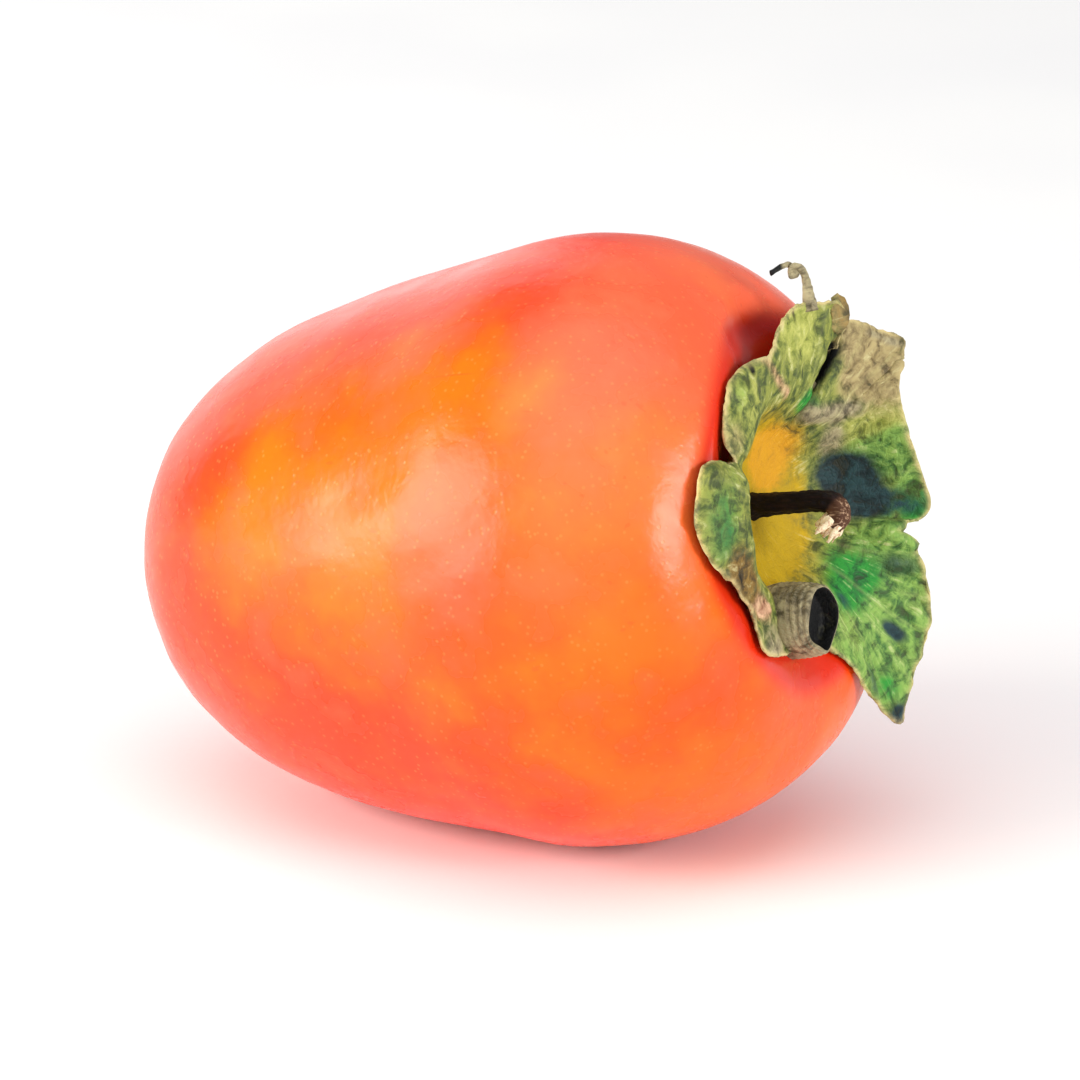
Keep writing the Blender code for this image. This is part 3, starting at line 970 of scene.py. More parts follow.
@dataclass(frozen=True)
class Patch:
    """A toned place on the calyx: its clock angle in degrees, radius and reaches round and outward in mm."""

    tone: Tone
    clock: float
    radius: float
    round_reach: float
    out_reach: float
    strength: float = 1.0
    rise: float = 0.0

    def share(self, plan: np.ndarray) -> np.ndarray:
        """Works out how much of the patch is at places in the plan, from 0 to 1."""
        out = in_plan(self.clock, 1.0)
        offset = plan - out * self.radius
        across = offset @ np.array([-out[1], out[0]])
        far = (across / self.round_reach) ** 2 + ((offset @ out) / self.out_reach) ** 2
        return np.exp(-(far**1.5))


@dataclass(frozen=True)
class Fold:
    """A fold along a straight run of the plan, with ends given by clock angle and radius."""

    tone: Tone
    start: tuple[float, float]
    end: tuple[float, float]
    width: float
    strength: float = 1.0
    rise: float = 0.5

    def share(self, plan: np.ndarray) -> np.ndarray:
        """Works out how close to the run places in the plan are: 1 on it, 0 beside it."""
        first = in_plan(*self.start)
        run = in_plan(*self.end) - first
        along = np.clip((plan - first) @ run / (run @ run), 0.0, 1.0)
        gap = np.linalg.norm(plan - first - along[..., None] * run, axis=-1)
        return np.exp(-((gap / self.width) ** 2))


@dataclass(frozen=True)
class Bar:
    """A rough bar along a centre line, with ribs along it; its wide side lies along a given direction."""

    sides: int
    ribs: int = 0
    rib_depth: float = 0.0
    flatness: float = 1.0
    wide: tuple[float, float, float] = (1.0, 0.0, 0.0)
    rough: float = 0.05
    rough_length: float = 1.1
    rough_seed: int = 61

    def sweep(self, line: np.ndarray) -> Shell:
        """Sweeps the bar.

        Args:
            line: The centre line, each row x, y, z and radius.

        Returns:
            Its skin, with a mark that runs from 0 to 1 along it.
        """
        centres, radii = line[:, :3], line[:, 3]
        heading = np.gradient(centres, axis=0)
        heading /= np.linalg.norm(heading, axis=1, keepdims=True)
        side = np.array(self.wide)
        angles = np.arange(self.sides) * FULL_TURN / self.sides
        ribs = self.rib_depth * np.cos(self.ribs * angles)
        rings = []
        for centre, radius, ahead in zip(centres, radii, heading):
            side = side - ahead * side.dot(ahead)
            side /= np.linalg.norm(side)
            other = np.cross(ahead, side)
            around = np.cos(angles)[:, None] * side + self.flatness * np.sin(angles)[:, None] * other
            rough = self.rough * swell(centre + around * radius, self.rough_length, self.rough_seed)
            rings.append(centre + (radius + ribs + rough)[:, None] * around)
        points, faces = capped(np.array(rings), centres[0], centres[-1])
        along = np.repeat(np.linspace(0, 1, len(line)), self.sides)
        return Shell(points, faces, {"run": np.r_[along, 0.0, 1.0]})


@dataclass(frozen=True)
class Strand:
    """A narrow strip of leaf along a path: clock angle, radius, height above the basin and half width."""

    path: tuple
    bar: Bar
    tones: tuple[tuple[Tone, float], ...]
    # Where along it, from 0 to 1, its black tip sets in and is full.
    black_tip: Optional[Span] = None
    steps: int = 6

    def line(self) -> np.ndarray:
        """Draws the centre line in the clock's frame, each row x, y, z and half width."""
        placed = [(*in_plan(clock, radius), *rest) for clock, radius, *rest in self.path]
        return smooth_path(placed, self.steps)

    def shell(self, line: np.ndarray) -> Shell:
        """Sweeps and tones the strip along its centre line in the fruit's frame."""
        shell = self.bar.sweep(line).toned(*self.tones)
        if self.black_tip:
            shell.toned((Tone.BLACK, eased(shell.marks["run"], *self.black_tip)))
        shell.marks["across"] = shell.points[:, 0] * MM
        return shell


@dataclass(frozen=True)
class Roll:
    """The dried end of a lobe, rolled up into a short open tube."""

    clock: float = 259.0
    radius: float = 14.1
    # The tube's outline: height above the basin floor and radius, up the outside and down the inside.
    outside: tuple = ((4.2, 3.8), (5.6, 4.7), (7.8, 4.8), (10.2, 4.6), (11.6, 4.2))
    inside: tuple = ((11.7, 3.95), (11.2, 3.8), (10.4, 3.7), (9.6, 3.4), (9.3, 2.0))
    steps: int = 9
    sides: int = 88
    groove_depth: float = 0.07
    groove_length: float = 0.75
    # Ripples round the tube, each with its size, count and phase.
    groove_waver: tuple = (0.8, 3, 0.0)
    squash: tuple = ((0.09, 2, 0.7 + QUARTER_TURN), (0.03, 5, QUARTER_TURN))
    rim_ripples: tuple = ((0.45, 1, QUARTER_TURN - 2.4), (0.225, 3, 0.0))
    # How far past the rim the black inside, painted shade, sets in and is full, and how wide the rim's pale
    # line is, in stations.
    inner_shade_reach: Span = (0.1, 0.6)
    pale_width: float = 0.35

    def shell(self) -> Shell:
        """Turns the tube in the clock's frame.

        Returns:
            Its skin, toned grey outside, pale at the rim and painted black inside as shade.
        """
        line = smooth_path((*self.outside, *self.inside), self.steps)
        station = np.arange(len(line)) / self.steps
        turn = np.arange(self.sides) * FULL_TURN / self.sides
        height, reach = line[:, :1], line[:, 1:]
        low, top = self.outside[0][0], self.outside[-1][0]
        up = np.clip((height - low) / (top - low), 0, 1)
        grooves = np.sin(FULL_TURN * height / self.groove_length + ripples(turn, self.groove_waver))
        grooves *= self.groove_depth * (station[:, None] < len(self.outside) - 1)
        reach = reach * (1 + ripples(turn, *self.squash)) + grooves
        height = height + up**3 * ripples(turn, *self.rim_ripples)
        centre = in_plan(self.clock, self.radius)
        rings = np.stack([centre[0] + reach * np.cos(turn), centre[1] + reach * np.sin(turn), height], axis=2)
        points, faces = capped(rings, [*centre, low], [*centre, self.inside[-1][0]])
        past_rim = np.r_[np.repeat(station, self.sides), 0.0, station[-1]] - (len(self.outside) - 0.5)
        # Painted shade: black inside the tube.
        black = eased(past_rim, *self.inner_shade_reach)
        pale = bell(past_rim, self.pale_width)
        return Shell(points, faces, {}).toned((Tone.GREY, 1.0), (Tone.BLACK, black), (Tone.PALE, pale))


@dataclass(frozen=True)
class Veins:
    """The leaf's main veins, which run out from the disc, every other one starting further out."""

    per_lobe: int = 9
    seed: int = 5
    rise: float = 0.07
    width: float = 0.30
    # How wide a vein is at its start, times the width, and how much of that it loses by the margin.
    taper: Span = (1.25, 0.6)
    # Shares of the spacing between veins by which one is out of place, drifts aside and meanders.
    jitter: float = 0.25
    drift: float = 0.5
    drift_growth: float = 1.5
    meander: float = 0.12
    meander_pace: Span = (9, 15)
    meander_phase: Span = (0, 6)
    # Where veins start, as shares of the way out, and how soon they are at their full height.
    long_start: float = 0.22
    short_start: Span = (0.35, 0.6)
    onset: float = 0.12
    least_step: float = 0.02

    def ridges(self, grid: np.ndarray) -> np.ndarray:
        """Works out where the veins run on a surface.

        Args:
            grid: The surface, lines round by points along by three.

        Returns:
            One value a place, from 0 beside the veins to 1 on them.
        """
        sides, count = grid.shape[:2]
        draw = np.random.default_rng(self.seed)
        spacing = sides / (LOBES * self.per_lobe)
        lines = np.arange(sides)[:, None]
        share = np.linspace(0, 1, count)[None, :]
        step = np.linalg.norm(np.roll(grid, -1, axis=0) - grid, axis=2)
        step = np.maximum(step, self.least_step)
        width = self.width * (self.taper[0] - self.taper[1] * share)
        ridges = np.zeros((sides, count))
        for k in range(LOBES * self.per_lobe):
            middle = (k + 0.5 + draw.uniform(-self.jitter, self.jitter)) * spacing
            start = self.long_start if k % 2 == 0 else draw.uniform(*self.short_start)
            drift = spacing * draw.uniform(-self.drift, self.drift) * share**self.drift_growth
            pace = draw.uniform(*self.meander_pace)
            meander = spacing * self.meander * np.sin(share * pace + draw.uniform(*self.meander_phase))
            off = np.remainder(lines - middle - drift - meander + sides / 2, sides) - sides / 2
            ridge = bell(off * step, width) * eased(share, start, start + self.onset)
            ridges = np.maximum(ridges, ridge)
        return ridges


@dataclass(frozen=True)
class Lobe:
    """A lobe's margin and the notch after it: clock angles in degrees, radii, heights above the basin."""

    margin: tuple
    # How far the lobe's edge turns over, outwards and upwards, at the margin's first and last point.
    first_lip: Span
    last_lip: Span
    notch: tuple[float, float, float]
    notch_lip: Span = (0.1, 0.1)

    def placed(self) -> list[tuple[float, ...]]:
        """Places the points of the margin and the notch.

        Returns:
            For each its x, y and height in the clock's frame, then how far the lip turns out and up.
        """
        rows = []
        for index, (clock, radius, height) in enumerate(self.margin):
            share = index / (len(self.margin) - 1)
            lip = [a + (b - a) * share for a, b in zip(self.first_lip, self.last_lip)]
            rows.append((*in_plan(clock, radius), height, *lip))
        clock, radius, height = self.notch
        rows.append((*in_plan(clock, radius), height, *self.notch_lip))
        return rows


@dataclass
class Calyx:
    """The calyx: four leafy lobes grown together round a disc."""

    # The clock's lobes are counted anticlockwise as seen from outside, from this angle.
    clock_zero: float = math.radians(74)
    # The far upper, near upper, near lower and far lower lobe.
    lobes: tuple[Lobe, ...] = (
        Lobe(
            (
                (-7, 19.0, 13.6), (-2, 19.4, 14.6), (12, 18.0, 14.8), (29, 18.0, 14.2),
                (41, 21.2, 13.2), (46, 27.0, 12.2), (54, 25.4, 10.7), (65, 23.7, 9.9),
            ),
            (0.2, 0.5),
            (0.4, -0.3),
            (66, 15.0, 5.8),
        ),
        Lobe(
            (
                (68.5, 24.2, 9.8), (76, 24.8, 9.8), (84, 24.0, 9.2), (93, 23.4, 8.8), (103, 21.4, 8.6),
                (117, 19.4, 8.8), (128, 20.4, 8.4), (139, 21.2, 8.0), (149, 20.8, 7.8), (157, 19.6, 7.8),
            ),
            (0.2, 0.8),
            (0.3, -1.0),
            (163, 16.6, 7.4),
        ),
        Lobe(
            (
                (169, 22.4, 8.2), (176, 24.2, 8.0), (186, 24.4, 7.8), (198, 22.8, 8.0), (211, 20.2, 8.2),
                (223, 19.4, 8.2), (234, 21.2, 8.4), (247, 19.6, 8.2), (261, 17.2, 7.4),
            ),
            (0.3, -1.1),
            (0.3, 1.0),
            (275, 13.0, 5.2),
        ),
        Lobe(
            (
                (289, 17.6, 7.0), (299, 22.4, 7.4), (304, 27.2, 7.8), (308, 33.2, 8.8), (312, 30.8, 10.0),
                (320, 27.6, 12.0), (328, 24.4, 13.4), (336, 21.0, 14.0), (343, 18.8, 13.4),
            ),
            (0.2, -0.4),
            (0.2, 0.5),
            (348, 16.4, 11.4),
        ),
    )
    centre_rise: float = 0.8
    disc_radius: float = 8.0
    disc_rise: float = 1.7
    crest_radius: float = 13.6
    crest_share: float = 0.8
    crest_height: float = 6.4
    crest_near_rise: float = 1.6
    crest_near_side: float = math.radians(180)
    # A place counts as in a notch where the margin's radius is small, and there it sinks and is calmer.
    notch_radii: Span = (16.0, 23.0)
    notch_sink: float = 1.4
    notch_calm: float = 0.6
    notch_edge_calm: float = 0.7
    least_lip: float = 0.1
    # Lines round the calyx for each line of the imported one, and steps along each stretch of a line.
    finer: int = 6
    packed_sides: int = 84
    crest_evening: int = 4
    disc_evening: int = 6
    steps: tuple[int, ...] = (8, 10, 20, 8)
    samples_per_span: int = 60
    # The fruit's rings and sides that the leaf is draped over, and how closely it lies on them.
    drape_steps: int = 8
    drape_sides: int = 208
    drape_from: float = 200.0
    clearance: float = 0.62
    softness: float = 0.15
    steepest_drape: float = 0.35
    # The leaf thins from one share of the way out to another, and is crinkled past where it lies flat.
    thick: float = 0.62
    edge_thick: float = 0.28
    thinning: Span = (0.4, 1.0)
    flat_until: Span = (0.35, 0.75)
    edge_calm: float = 0.5
    edge_width: float = 0.42
    # Slow waves of the margin: size, count and phase; then wavelength and size of each finer swell.
    margin_waves: tuple = ((0.25, 7, 0.6), (0.15, 12, 2.1))
    ragged: tuple = ((4.6, 0.20), (1.7, 0.13))
    ragged_seed: int = 31
    crinkle: tuple = ((6.0, 0.34), (2.6, 0.16), (1.2, 0.06))
    crinkle_seed: int = 41
    veins: Veins = Veins()
    # How many metres of fibre pattern go round the calyx and along a line.
    fibre_span: Span = (0.078, 0.0035)
    features: tuple = (
        Patch(Tone.PALE, 92, 21.0, 5.0, 4.5, 1.0),
        Patch(Tone.PALE, 34, 18.2, 3.6, 3.4, 1.0),
        Patch(Tone.PALE, 318, 11.6, 3.5, 2.0, 0.7),
        Patch(Tone.PALE, 303, 19.0, 1.4, 3.0, 0.6),
        Patch(Tone.FRESH, 318, 24.0, 12.0, 14.0, 0.9),
        Patch(Tone.FRESH, 344, 18.6, 3.0, 3.5, 1.0, 0.8),
        Patch(Tone.FRESH, 22, 17.5, 3.0, 3.4, 1.1),
        Patch(Tone.FRESH, 12, 18.2, 3.0, 1.8, 0.7),
        Patch(Tone.FRESH, 186, 21.6, 6.0, 3.0, 0.45),
        Patch(Tone.DEEP, 184, 20.5, 7.0, 4.0, 0.5),
        Patch(Tone.PALE, 136, 17.6, 4.0, 3.6, 0.5),
        Patch(Tone.FRESH, 140, 19.5, 2.6, 2.6, 0.35),
        Patch(Tone.DEEP, 322, 15.0, 5.0, 3.6, 1.0),
        Patch(Tone.DEEP, 309, 28.0, 1.6, 3.0, 0.6),
        Patch(Tone.PALE, 321, 26.6, 2.6, 3.0, 0.5),
        # Painted shade: deep green at the bottom of the notch between the two upper lobes.
        Patch(Tone.DEEP, 70, 13.2, 2.2, 1.6, 0.9),
        Patch(Tone.DRY, 55, 24.6, 7.0, 4.6, 1.1),
        Patch(Tone.DRY, 48, 20.0, 5.0, 4.0, 0.9),
        Patch(Tone.DRY, 158, 18.0, 3.0, 3.0, 0.5),
        Patch(Tone.BROWN, 212, 18.8, 5.0, 4.0, 1.4),
        Patch(Tone.BROWN, 172, 21.5, 3.0, 3.0, 0.4),
        Patch(Tone.DRY, 226, 17.0, 3.0, 2.4, 0.6),
        Patch(Tone.GREY, 240, 19.0, 3.5, 3.0, 0.9),
        Patch(Tone.GREY, 36, 13.6, 2.6, 1.6, 0.7),
        Patch(Tone.GOLDEN, 205, 1.2, 9.8, 9.4, 2.6),
        Patch(Tone.AMBER, 62, 6.6, 4.2, 4.2, 1.4),
        Patch(Tone.ROSY, 228, 17.0, 2.4, 1.8, 0.8),
        # Painted shade: bruise and deep green in the hollow at the far upper lobe's base, over a dark blotch.
        Patch(Tone.BRUISE, 7, 14.4, 3.7, 2.2, 0.95),
        Patch(Tone.BRUISE, 0, 17.2, 2.0, 2.6, 0.7),
        Patch(Tone.BRUISE, 18, 13.6, 2.6, 2.2, 1.0),
        Patch(Tone.DEEP, 0, 19.0, 3.0, 3.0, 0.8),
        # Bruises on the lower lobes: dark blotches and a dark tip, partly painted shade.
        Patch(Tone.BRUISE, 337, 18.8, 1.6, 2.0, 0.5),
        Patch(Tone.BRUISE, 318.5, 23.2, 0.9, 2.0, 0.85),
        Patch(Tone.BRUISE, 311, 15.6, 0.9, 1.6, 0.6),
        Patch(Tone.BRUISE, 305.5, 26.0, 0.7, 3.0, 0.6),
        Patch(Tone.BRUISE, 308, 32.8, 1.6, 1.9, 1.4),
        Patch(Tone.BRUISE, 186, 21.4, 6.0, 3.4, 0.36),
        # Painted shade: black in the slit of the notch between the two upper lobes.
        Fold(Tone.BLACK, (67, 20.2), (68.5, 15.4), 0.95, 1.7, -0.9),
        Patch(Tone.BLACK, 207, 19.4, 1.8, 0.5, 0.8),
        Patch(Tone.BLACK, 128, 20.0, 0.6, 0.9, 0.8),
        Patch(Tone.BLACK, 95, 22.6, 0.3, 1.5, 0.7),
        Fold(Tone.GREY, (43, 17.0), (62, 12.5), 1.1, 0.9, 0.8),
        Fold(Tone.GREY, (58, 24.4), (46, 26.6), 0.6, 0.7, 0.3),
        Fold(Tone.ROSY, (121, 19.8), (98, 13.4), 0.8, 0.5, 0.2),
        Fold(Tone.ROSY, (214, 21.6), (232, 16.0), 0.5, 0.5, 0.2),
    )
    # The curled wisp on the upper near lobe and the folded corner beside it.
    strands: tuple[Strand, ...] = (
        Strand(
            (
                (87, 23.0, 9.6, 0.95), (88.5, 25.2, 9.6, 0.7), (88, 26.9, 9.2, 0.5), (90, 28.1, 9.0, 0.45),
                (93, 28.3, 8.6, 0.42), (92, 27.3, 8.2, 0.4), (90, 27.4, 8.6, 0.38), (92, 28.4, 8.3, 0.36),
                (96, 28.4, 8.2, 0.36), (99.6, 27.8, 7.5, 0.4),
            ),
            Bar(14, flatness=0.45, wide=(0.5, 0.5, 0.6)),
            ((Tone.DRY, 0.6), (Tone.GREY, 1.0)),
            black_tip=(0.86, 0.94),
        ),
        Strand(
            ((75, 25.8, 9.9, 0.6), (73, 24.8, 10.2, 1.3), (71.5, 23.2, 10.2, 1.4), (71.5, 21.8, 9.4, 0.9)),
            Bar(18, flatness=0.16, wide=(0.0, 0.9, 0.4)),
            ((Tone.BROWN, 0.5), (Tone.DRY, 0.7)),
        ),
    )
    roll: Roll = Roll()

    def _margin(self, sides: int) -> np.ndarray:
        """Draws the margin and its lip, evenly spaced along its length.

        Args:
            sides: How many points to place round it.

        Returns:
            One row a point: x, y and height in the clock's frame, then how far the lip turns out and up.
        """
        placed = [row for lobe in self.lobes for row in lobe.placed()]
        fine = smooth_path(placed, self.samples_per_span, closed=True)
        loop = np.vstack([fine, fine[:1]])
        along = np.r_[0.0, np.cumsum(np.linalg.norm(np.diff(loop[:, :3], axis=0), axis=1))]
        wanted = np.arange(sides) * along[-1] / sides
        return np.column_stack([np.interp(wanted, along, loop[:, k]) for k in range(loop.shape[1])])

    def _lines(self) -> tuple[np.ndarray, np.ndarray]:
        """Draws the calyx's middle surface in the clock's frame.

        Returns:
            The lines from the centre to the lip, lines by points by three, and how deep each is in a notch.
        """
        sides = self.packed_sides * self.finer
        margin = self._margin(sides)
        edge = margin[:, :3]
        clock = np.unwrap(np.arctan2(edge[:, 1], edge[:, 0]))
        width = evened(np.hypot(edge[:, 0], edge[:, 1]), self.finer)
        up = np.array([0.0, 0.0, 1.0])
        crest_turn = evened_turn(clock, self.crest_evening * self.finer)
        disc_turn = evened_turn(crest_turn, self.disc_evening * self.finer)
        in_notch = 1 - eased(width, *self.notch_radii)
        near = 0.5 + 0.5 * np.cos(crest_turn - self.crest_near_side)
        crest_rise = self.crest_height + self.crest_near_rise * near - self.notch_sink * in_notch
        crest_radius = np.minimum(self.crest_radius, self.crest_share * width)
        disc = outward(disc_turn) * self.disc_radius + up * self.disc_rise
        opposite = -outward(disc_turn) * self.disc_radius + up * self.disc_rise
        centre = np.zeros((sides, 3)) + up * self.centre_rise
        crest = outward(crest_turn) * crest_radius[:, None] + up * crest_rise[:, None]
        reach = self.finer
        along = evened(np.roll(edge, -reach, axis=0) - np.roll(edge, reach, axis=0), reach)
        across = outward(np.arctan2(-along[:, 0], along[:, 1]))
        turn_over = margin[:, 3:] * (self.least_lip + (1 - self.least_lip) * (1 - in_notch))[:, None]
        lip = edge + across * turn_over[:, :1] + up * turn_over[:, 1:]
        ragged = swells(edge, self.ragged, self.ragged_seed) * (1 - self.notch_edge_calm * in_notch)
        lip += across * ragged[:, None]
        lines = []
        for stations in zip(opposite, centre, disc, crest, edge, lip):
            lines.append(smooth_path(stations, (1, *self.steps))[1:])
        grid = np.array(lines)
        share = np.linspace(0, 1, grid.shape[1])[None, :]
        grid[:, :, 2] += ripples(clock, *self.margin_waves)[:, None] * share**3
        return grid, in_notch

    def from_clock(self, points: np.ndarray, centre: np.ndarray) -> np.ndarray:
        """Moves points from the clock's frame to the fruit's."""
        c, s = math.cos(self.clock_zero), math.sin(self.clock_zero)
        turned = points.copy()
        turned[..., 0] = c * points[..., 0] - s * points[..., 1]
        turned[..., 1] = s * points[..., 0] + c * points[..., 1]
        return turned + centre

    def _drape(self, grid: np.ndarray, rings: np.ndarray) -> np.ndarray:
        """Lifts the middle surface wherever it would sink into the fruit.

        Args:
            grid: The middle surface in the fruit's frame.
            rings: The fruit's smooth surface.

        Returns:
            The lifted surface.
        """
        count, sides = rings.shape[:2]
        tree = BVHTree.FromPolygons(rings.reshape(-1, 3).tolist(), ring_quads(count, sides))
        lifted = grid.copy()
        for place in np.ndindex(grid.shape[:2]):
            x, y, z = grid[place]
            hit, normal, _, _ = tree.ray_cast(Vector((x, y, self.drape_from)), Vector((0, 0, -1)))
            if hit is None:
                continue
            lowest = hit.z + self.clearance / max(abs(normal.z), self.steepest_drape)
            above = (z - lowest) / self.softness
            lifted[place][2] = lowest + self.softness * np.logaddexp(0.0, above)
        return lifted

    def _marks(self, grid: np.ndarray, plan: np.ndarray) -> dict[str, np.ndarray]:
        """Works out what the leaf's finish reads.

        Args:
            grid: The middle surface in the fruit's frame.
            plan: Where its places are in the clock's plan.

        Returns:
            The tones, edge, veins and fibre coordinates of every place.
        """
        sides, count = grid.shape[:2]
        marks = {tone.value: np.zeros((sides, count)) for tone in Tone}
        for feature in self.features:
            marks[feature.tone.value] += feature.strength * feature.share(plan)
        marks["edge"] = bell(np.linalg.norm(grid - grid[:, -1:], axis=2), self.edge_width)
        across, along = self.fibre_span
        marks["across"] = np.repeat(np.arange(sides)[:, None] * across / sides, count, axis=1)
        marks["along"] = np.repeat(np.linspace(0, along, count)[None, :], sides, axis=0)
        marks["vein"] = self.veins.ridges(grid)
        return marks

    def _leaf(self, fruit: Fruit) -> Shell:
        """Builds the four lobes and their disc as one sheet of leaf over the fruit.

        Args:
            fruit: The fruit that it lies on.

        Returns:
            The leaf's skin in the fruit's frame, upper side first.
        """
        clock_grid, in_notch = self._lines()
        plan = clock_grid[..., :2]
        grid = self.from_clock(clock_grid, fruit.basin_centre())
        grid = self._drape(grid, fruit.surface(self.drape_steps, self.drape_sides))
        share = np.linspace(0, 1, grid.shape[1])[None, :]
        crinkle = np.abs(swells(grid, self.crinkle, self.crinkle_seed))
        loose = eased(share, *self.flat_until) * (1 - self.notch_calm * in_notch[:, None])
        loose = loose * (1 - self.edge_calm * share**4)
        raised = crinkle * loose + sum(feature.rise * feature.share(plan) for feature in self.features)
        grid = grid + self._upward(grid) * raised[..., None]
        marks = self._marks(grid, plan)
        normals = self._upward(grid)
        half = (self.thick + (self.edge_thick - self.thick) * eased(share, *self.thinning)) / 2
        upper = grid + normals * (half + self.veins.rise * marks["vein"])[..., None]
        lower = grid - normals * half[..., None]
        sides, rings = grid.shape[0], grid.shape[1] - 1
        one_side = 1 + rings * sides
        rows = [(skin[0, :1], *skin[:, 1:].swapaxes(0, 1)) for skin in (upper, lower)]
        points = np.vstack([*rows[0], *rows[1]])
        faces = fan(0, 1, sides)
        faces += ring_quads(rings, sides, first=1, flip=True)
        faces += fan(one_side, one_side + 1, sides, flip=True)
        faces += ring_quads(rings, sides, first=one_side + 1)
        last = one_side - sides
        for i in range(sides):
            a, b = last + i, last + (i + 1) % sides
            faces.append((a, a + one_side, b + one_side, b))
        flat = {name: np.tile(np.r_[mark[0, 0], mark[:, 1:].T.ravel()], 2) for name, mark in marks.items()}
        return Shell(points, faces, flat)

    @staticmethod
    def _upward(grid: np.ndarray) -> np.ndarray:
        """Gives the middle surface's normals, straight up at its centre."""
        normals = grid_normals(grid)
        normals[:, 0] = (0, 0, 1)
        return normals

    def build(self, fruit: Fruit, lying: Lying) -> None:
        """Builds and dresses the calyx.

        Args:
            fruit: The fruit that it lies on.
            lying: Where the fruit lies.
        """
        centre = fruit.basin_centre()
        tube = self.roll.shell()
        tube.points = self.from_clock(tube.points, centre)
        tube.marks["across"] = tube.points[:, 2] * MM
        shells = [self._leaf(fruit), tube]
        for strand in self.strands:
            line = strand.line()
            line[:, :3] = self.from_clock(line[:, :3], centre)
            shells.append(strand.shell(line))
        lay_piece("persimmon_calyx", joined(shells), lying, CalyxLeaf().material(), Slot.LEAF, "calyx")


@dataclass
class Stem:
    """The woody stem's stub, hooked over where it was broken off."""

    # The centre line: towards clock zero, towards clock ninety, above the calyx, and its radius.
    line: tuple = (
        (0.0, 0.0, 0.0, 1.75), (0.0, 0.1, 1.4, 1.45), (0.0, 0.2, 5.0, 1.3), (0.1, 0.2, 9.2, 1.3),
        (0.2, -0.3, 11.2, 1.35), (0.2, -1.6, 11.9, 1.35), (0.1, -2.7, 10.9, 1.3),
    )
    steps: int = 12
    bar: Bar = Bar(48, 5, 0.08)
    # How far the stem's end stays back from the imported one's.
    shorter: float = 2.5
    # Where along it, from 0 to 1, the bend's brown, partly painted light, sets in and is full.
    bend: Span = (0.55, 0.80)
    splinters: int = 34
    splinter_seed: int = 9
    splinter_bar: Bar = Bar(8, rough=0.06)
    splinter_steps: int = 6
    splinter_length: Span = (0.8, 2.0)
    splinter_width: Span = (0.34, 0.56)
    splinter_taper: float = 0.75
    splinter_lean: Span = (-0.1, 0.55)
    # How deep the splinters stand in the stem, and how far out, as a share of its radius.
    splinter_foot: float = 0.7
    splinter_spread: float = 0.85

    def build(self, fruit: Fruit, calyx: Calyx, lying: Lying) -> None:
        """Builds and dresses the stem.

        Args:
            fruit: The fruit that it grows from.
            calyx: The calyx that it stands on.
            lying: Where the fruit lies.
        """
        line = smooth_path(self.line, self.steps)
        line[:, :3] = calyx.from_clock(line[:, :3], fruit.basin_centre())
        bark = self.bar.sweep(line)
        rise = (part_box("stem")[1].x - lying.laid(bark.points)[:, 0].max()) / MM / math.cos(REST_TILT)
        rise -= self.shorter
        bark.points[:, 2] += rise
        line[:, 2] += rise
        bark.marks["bent"] = eased(bark.marks["run"], *self.bend)
        lay_piece("persimmon_stem", bark, lying, StemBark().material(), Slot.WOOD, "stem")
        broken = self._splinters(line)
        lay_piece("persimmon_stem_break", broken, lying, BROKEN_WOOD.material(), Slot.WOOD)

    def _splinters(self, line: np.ndarray) -> Shell:
        """Sets pale splinters into the broken end.

        Args:
            line: The stem's centre line, each row x, y, z and radius.

        Returns:
            All the splinters as one shell.
        """
        draw = np.random.default_rng(self.splinter_seed)
        end, radius = line[-1, :3], line[-1, 3]
        ahead = end - line[-4, :3]
        ahead /= np.linalg.norm(ahead)
        side = np.cross(ahead, (0.0, 1.0, 0.0))
        side /= np.linalg.norm(side)
        other = np.cross(ahead, side)
        share = np.linspace(0, 1, self.splinter_steps)[:, None]
        shells = []
        for _ in range(self.splinters):
            turn = draw.uniform(0, FULL_TURN)
            out = radius * self.splinter_spread * math.sqrt(draw.uniform(0, 1))
            away = math.cos(turn) * side + math.sin(turn) * other
            lean = ahead + away * draw.uniform(*self.splinter_lean) * out
            lean /= np.linalg.norm(lean)
            foot = end + away * out - ahead * self.splinter_foot
            run = lean * (self.splinter_foot + draw.uniform(*self.splinter_length))
            thick = draw.uniform(*self.splinter_width) * (1 - self.splinter_taper * share**2)
            shells.append(self.splinter_bar.sweep(np.hstack([foot + run * share, thick])))
        return joined(shells)


@dataclass
class StyleTip:
    """The dry, four-ribbed remnant of the style on the fruit's tip."""

    # How far out each station is and its radius.
    line: tuple = ((0.0, 1.5), (0.5, 1.25), (1.0, 0.75), (1.9, 0.35))
    steps: int = 8
    gap: float = 0.3
    bar: Bar = Bar(40, 4, 0.16)

    def build(self, fruit: Fruit, lying: Lying) -> None:
        """Builds and dresses the remnant.

        Args:
            fruit: The fruit that it stands on.
            lying: Where the fruit lies.
        """
        tip = fruit.profile[0][0]
        stations = [(0.0, 0.0, tip - self.gap - out, radius) for out, radius in self.line]
        shell = self.bar.sweep(smooth_path(stations, self.steps))
        lay_piece("persimmon_style_tip", shell, lying, DRY_STYLE.material(), Slot.STYLE, "style_tip")


def away_from(turn: float, climb: float) -> Vector:
    """Gives the direction at this turn from the front and this climb above the floor."""
    return Vector((
        math.sin(turn) * math.cos(climb),
        -math.cos(turn) * math.cos(climb),
        math.sin(climb),
    ))


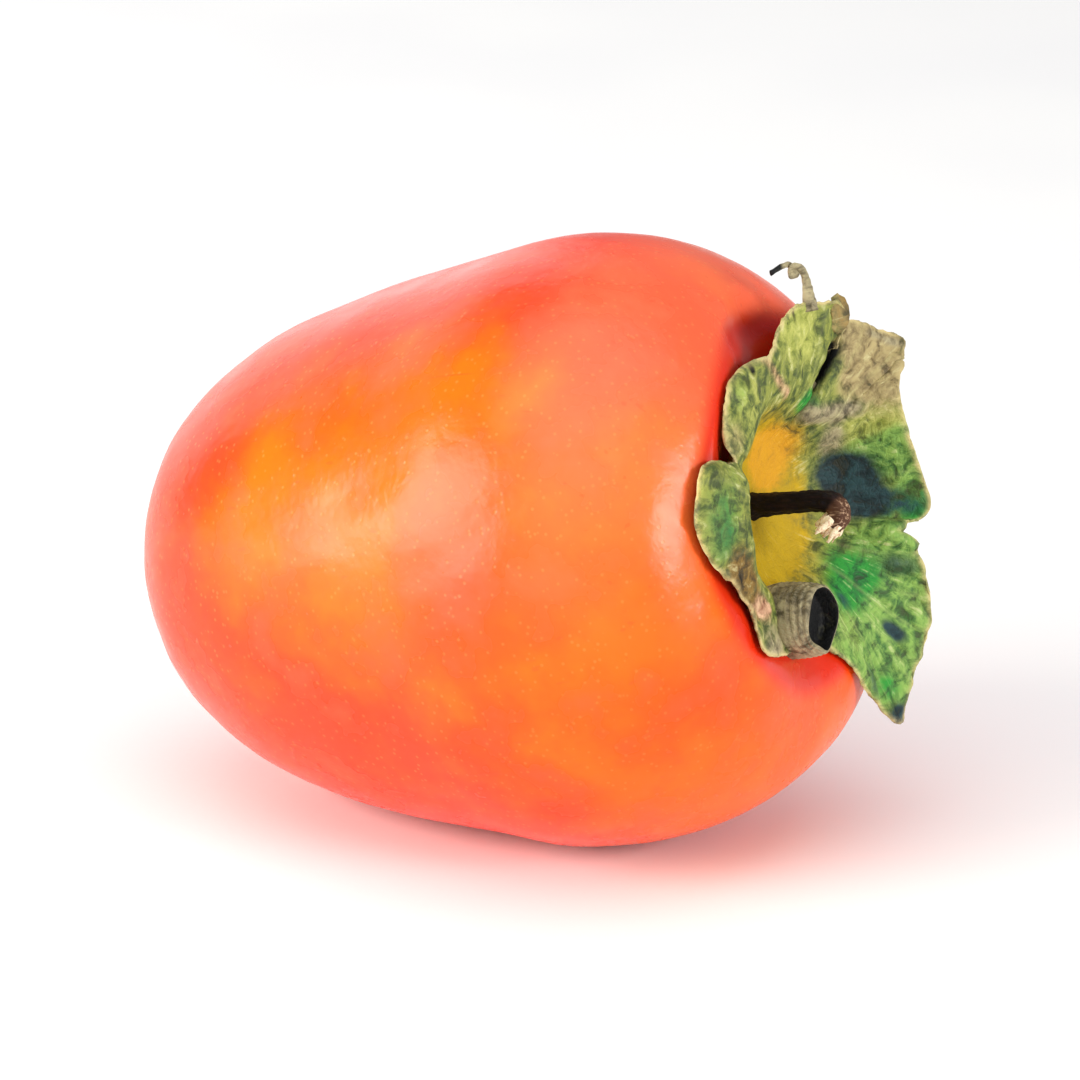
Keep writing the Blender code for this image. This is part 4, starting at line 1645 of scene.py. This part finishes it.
def set_up(name: str, data: bpy.types.ID, target: Vector, away: Vector, distance: float) -> bpy.types.Object:
    """Puts a light or camera up, looking at a target.

    Args:
        name: Its name.
        data: The light's or camera's settings.
        target: What it looks at.
        away: The direction in which it stands from there.
        distance: How far away it stands, in metres.

    Returns:
        The new object.
    """
    placed = bpy.data.objects.new(name, data)
    placed.location = target + away * distance
    placed.rotation_euler = (-away).to_track_quat("-Z", "Y").to_euler()
    bpy.context.scene.collection.objects.link(placed)
    return placed


@dataclass(frozen=True)
class Softbox:
    """A square studio light that looks at the fruit; its distance and width are in metres."""

    name: str
    turn: float
    climb: float
    distance: float
    width: float
    power: float
    tint: Colour = (1.0, 1.0, 1.0)

    def place(self, target: Vector) -> None:
        """Puts the light up, looking at the target."""
        light = bpy.data.lights.new(self.name, "AREA")
        light.size = self.width
        light.energy = self.power
        light.color = self.tint
        set_up(self.name, light, target, away_from(self.turn, self.climb), self.distance)


@dataclass
class Studio:
    """The plain pale floor, the soft lights and the camera at the photograph's viewing angle."""

    camera_turn: float = math.radians(28.0)
    camera_climb: float = math.radians(18.0)
    camera_distance: float = 1.2
    nearest_seen: float = 0.01
    framed_width: float = 0.131
    sensor: float = 36.0
    aim_right: float = 0.0041
    aim_up: float = 0.0006
    floor_radius: float = 3.0
    floor_sides: int = 96
    world_strength: float = 0.35
    boxes: tuple[Softbox, ...] = (
        Softbox("key_light", math.radians(-38), math.radians(14), 0.70, 0.50, 7.8, (1.0, 0.96, 0.90)),
        Softbox("left_light", math.radians(-124), math.radians(14), 0.90, 0.80, 2.2),
        Softbox("right_light", math.radians(86), math.radians(15), 0.80, 0.30, 3.6),
        Softbox("top_light", math.radians(10), math.radians(80), 1.00, 1.20, 6.6),
    )

    def build(self, middle: Vector) -> None:
        """Sets the studio up round the fruit.

        Args:
            middle: The fruit's middle, in packed metres.
        """
        self._floor()
        self._world()
        for box in self.boxes:
            box.place(middle)
        self._camera(middle)

    def _floor(self) -> None:
        """Lays the floor at height zero."""
        angles = np.arange(self.floor_sides) * FULL_TURN / self.floor_sides
        mesh = bpy.data.meshes.new("pale_floor")
        mesh.from_pydata((outward(angles) * self.floor_radius).tolist(), [], [tuple(range(self.floor_sides))])
        floor = bpy.data.objects.new("pale_floor", mesh)
        bpy.context.scene.collection.objects.link(floor)
        mesh.materials.append(PALE_FLOOR.material())

    def _world(self) -> None:
        """Surrounds the scene with even pale light."""
        world = bpy.data.worlds.new("studio")
        world.use_nodes = True
        background = world.node_tree.nodes["Background"]
        background.inputs["Color"].default_value = (1.0, 1.0, 1.0, 1.0)
        background.inputs["Strength"].default_value = self.world_strength
        bpy.context.scene.world = world
        bpy.context.scene.view_settings.view_transform = "Standard"

    def _camera(self, middle: Vector) -> None:
        """Puts the camera where the photograph was taken from, aimed so that the fruit is centred."""
        away = away_from(self.camera_turn, self.camera_climb)
        right = Vector((math.cos(self.camera_turn), math.sin(self.camera_turn), 0.0))
        target = middle + right * self.aim_right + away.cross(right) * self.aim_up
        lens = bpy.data.cameras.new("portrait_camera")
        lens.sensor_width = self.sensor
        lens.lens = self.sensor * self.camera_distance / self.framed_width
        lens.clip_start = self.nearest_seen
        bpy.context.scene.camera = set_up("portrait_camera", lens, target, away, self.camera_distance)


def main() -> None:
    """Builds the dressed persimmon and its studio."""
    logging.basicConfig(level=logging.INFO, format="%(name)s: %(message)s")
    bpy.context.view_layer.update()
    fruit = Fruit()
    calyx = Calyx()
    lying = fruit.lying()
    Studio().build(lying.origin)
    fruit.build(lying)
    calyx.build(fruit, lying)
    Stem().build(fruit, calyx, lying)
    StyleTip().build(fruit, lying)


if __name__ == "__main__":
    main()
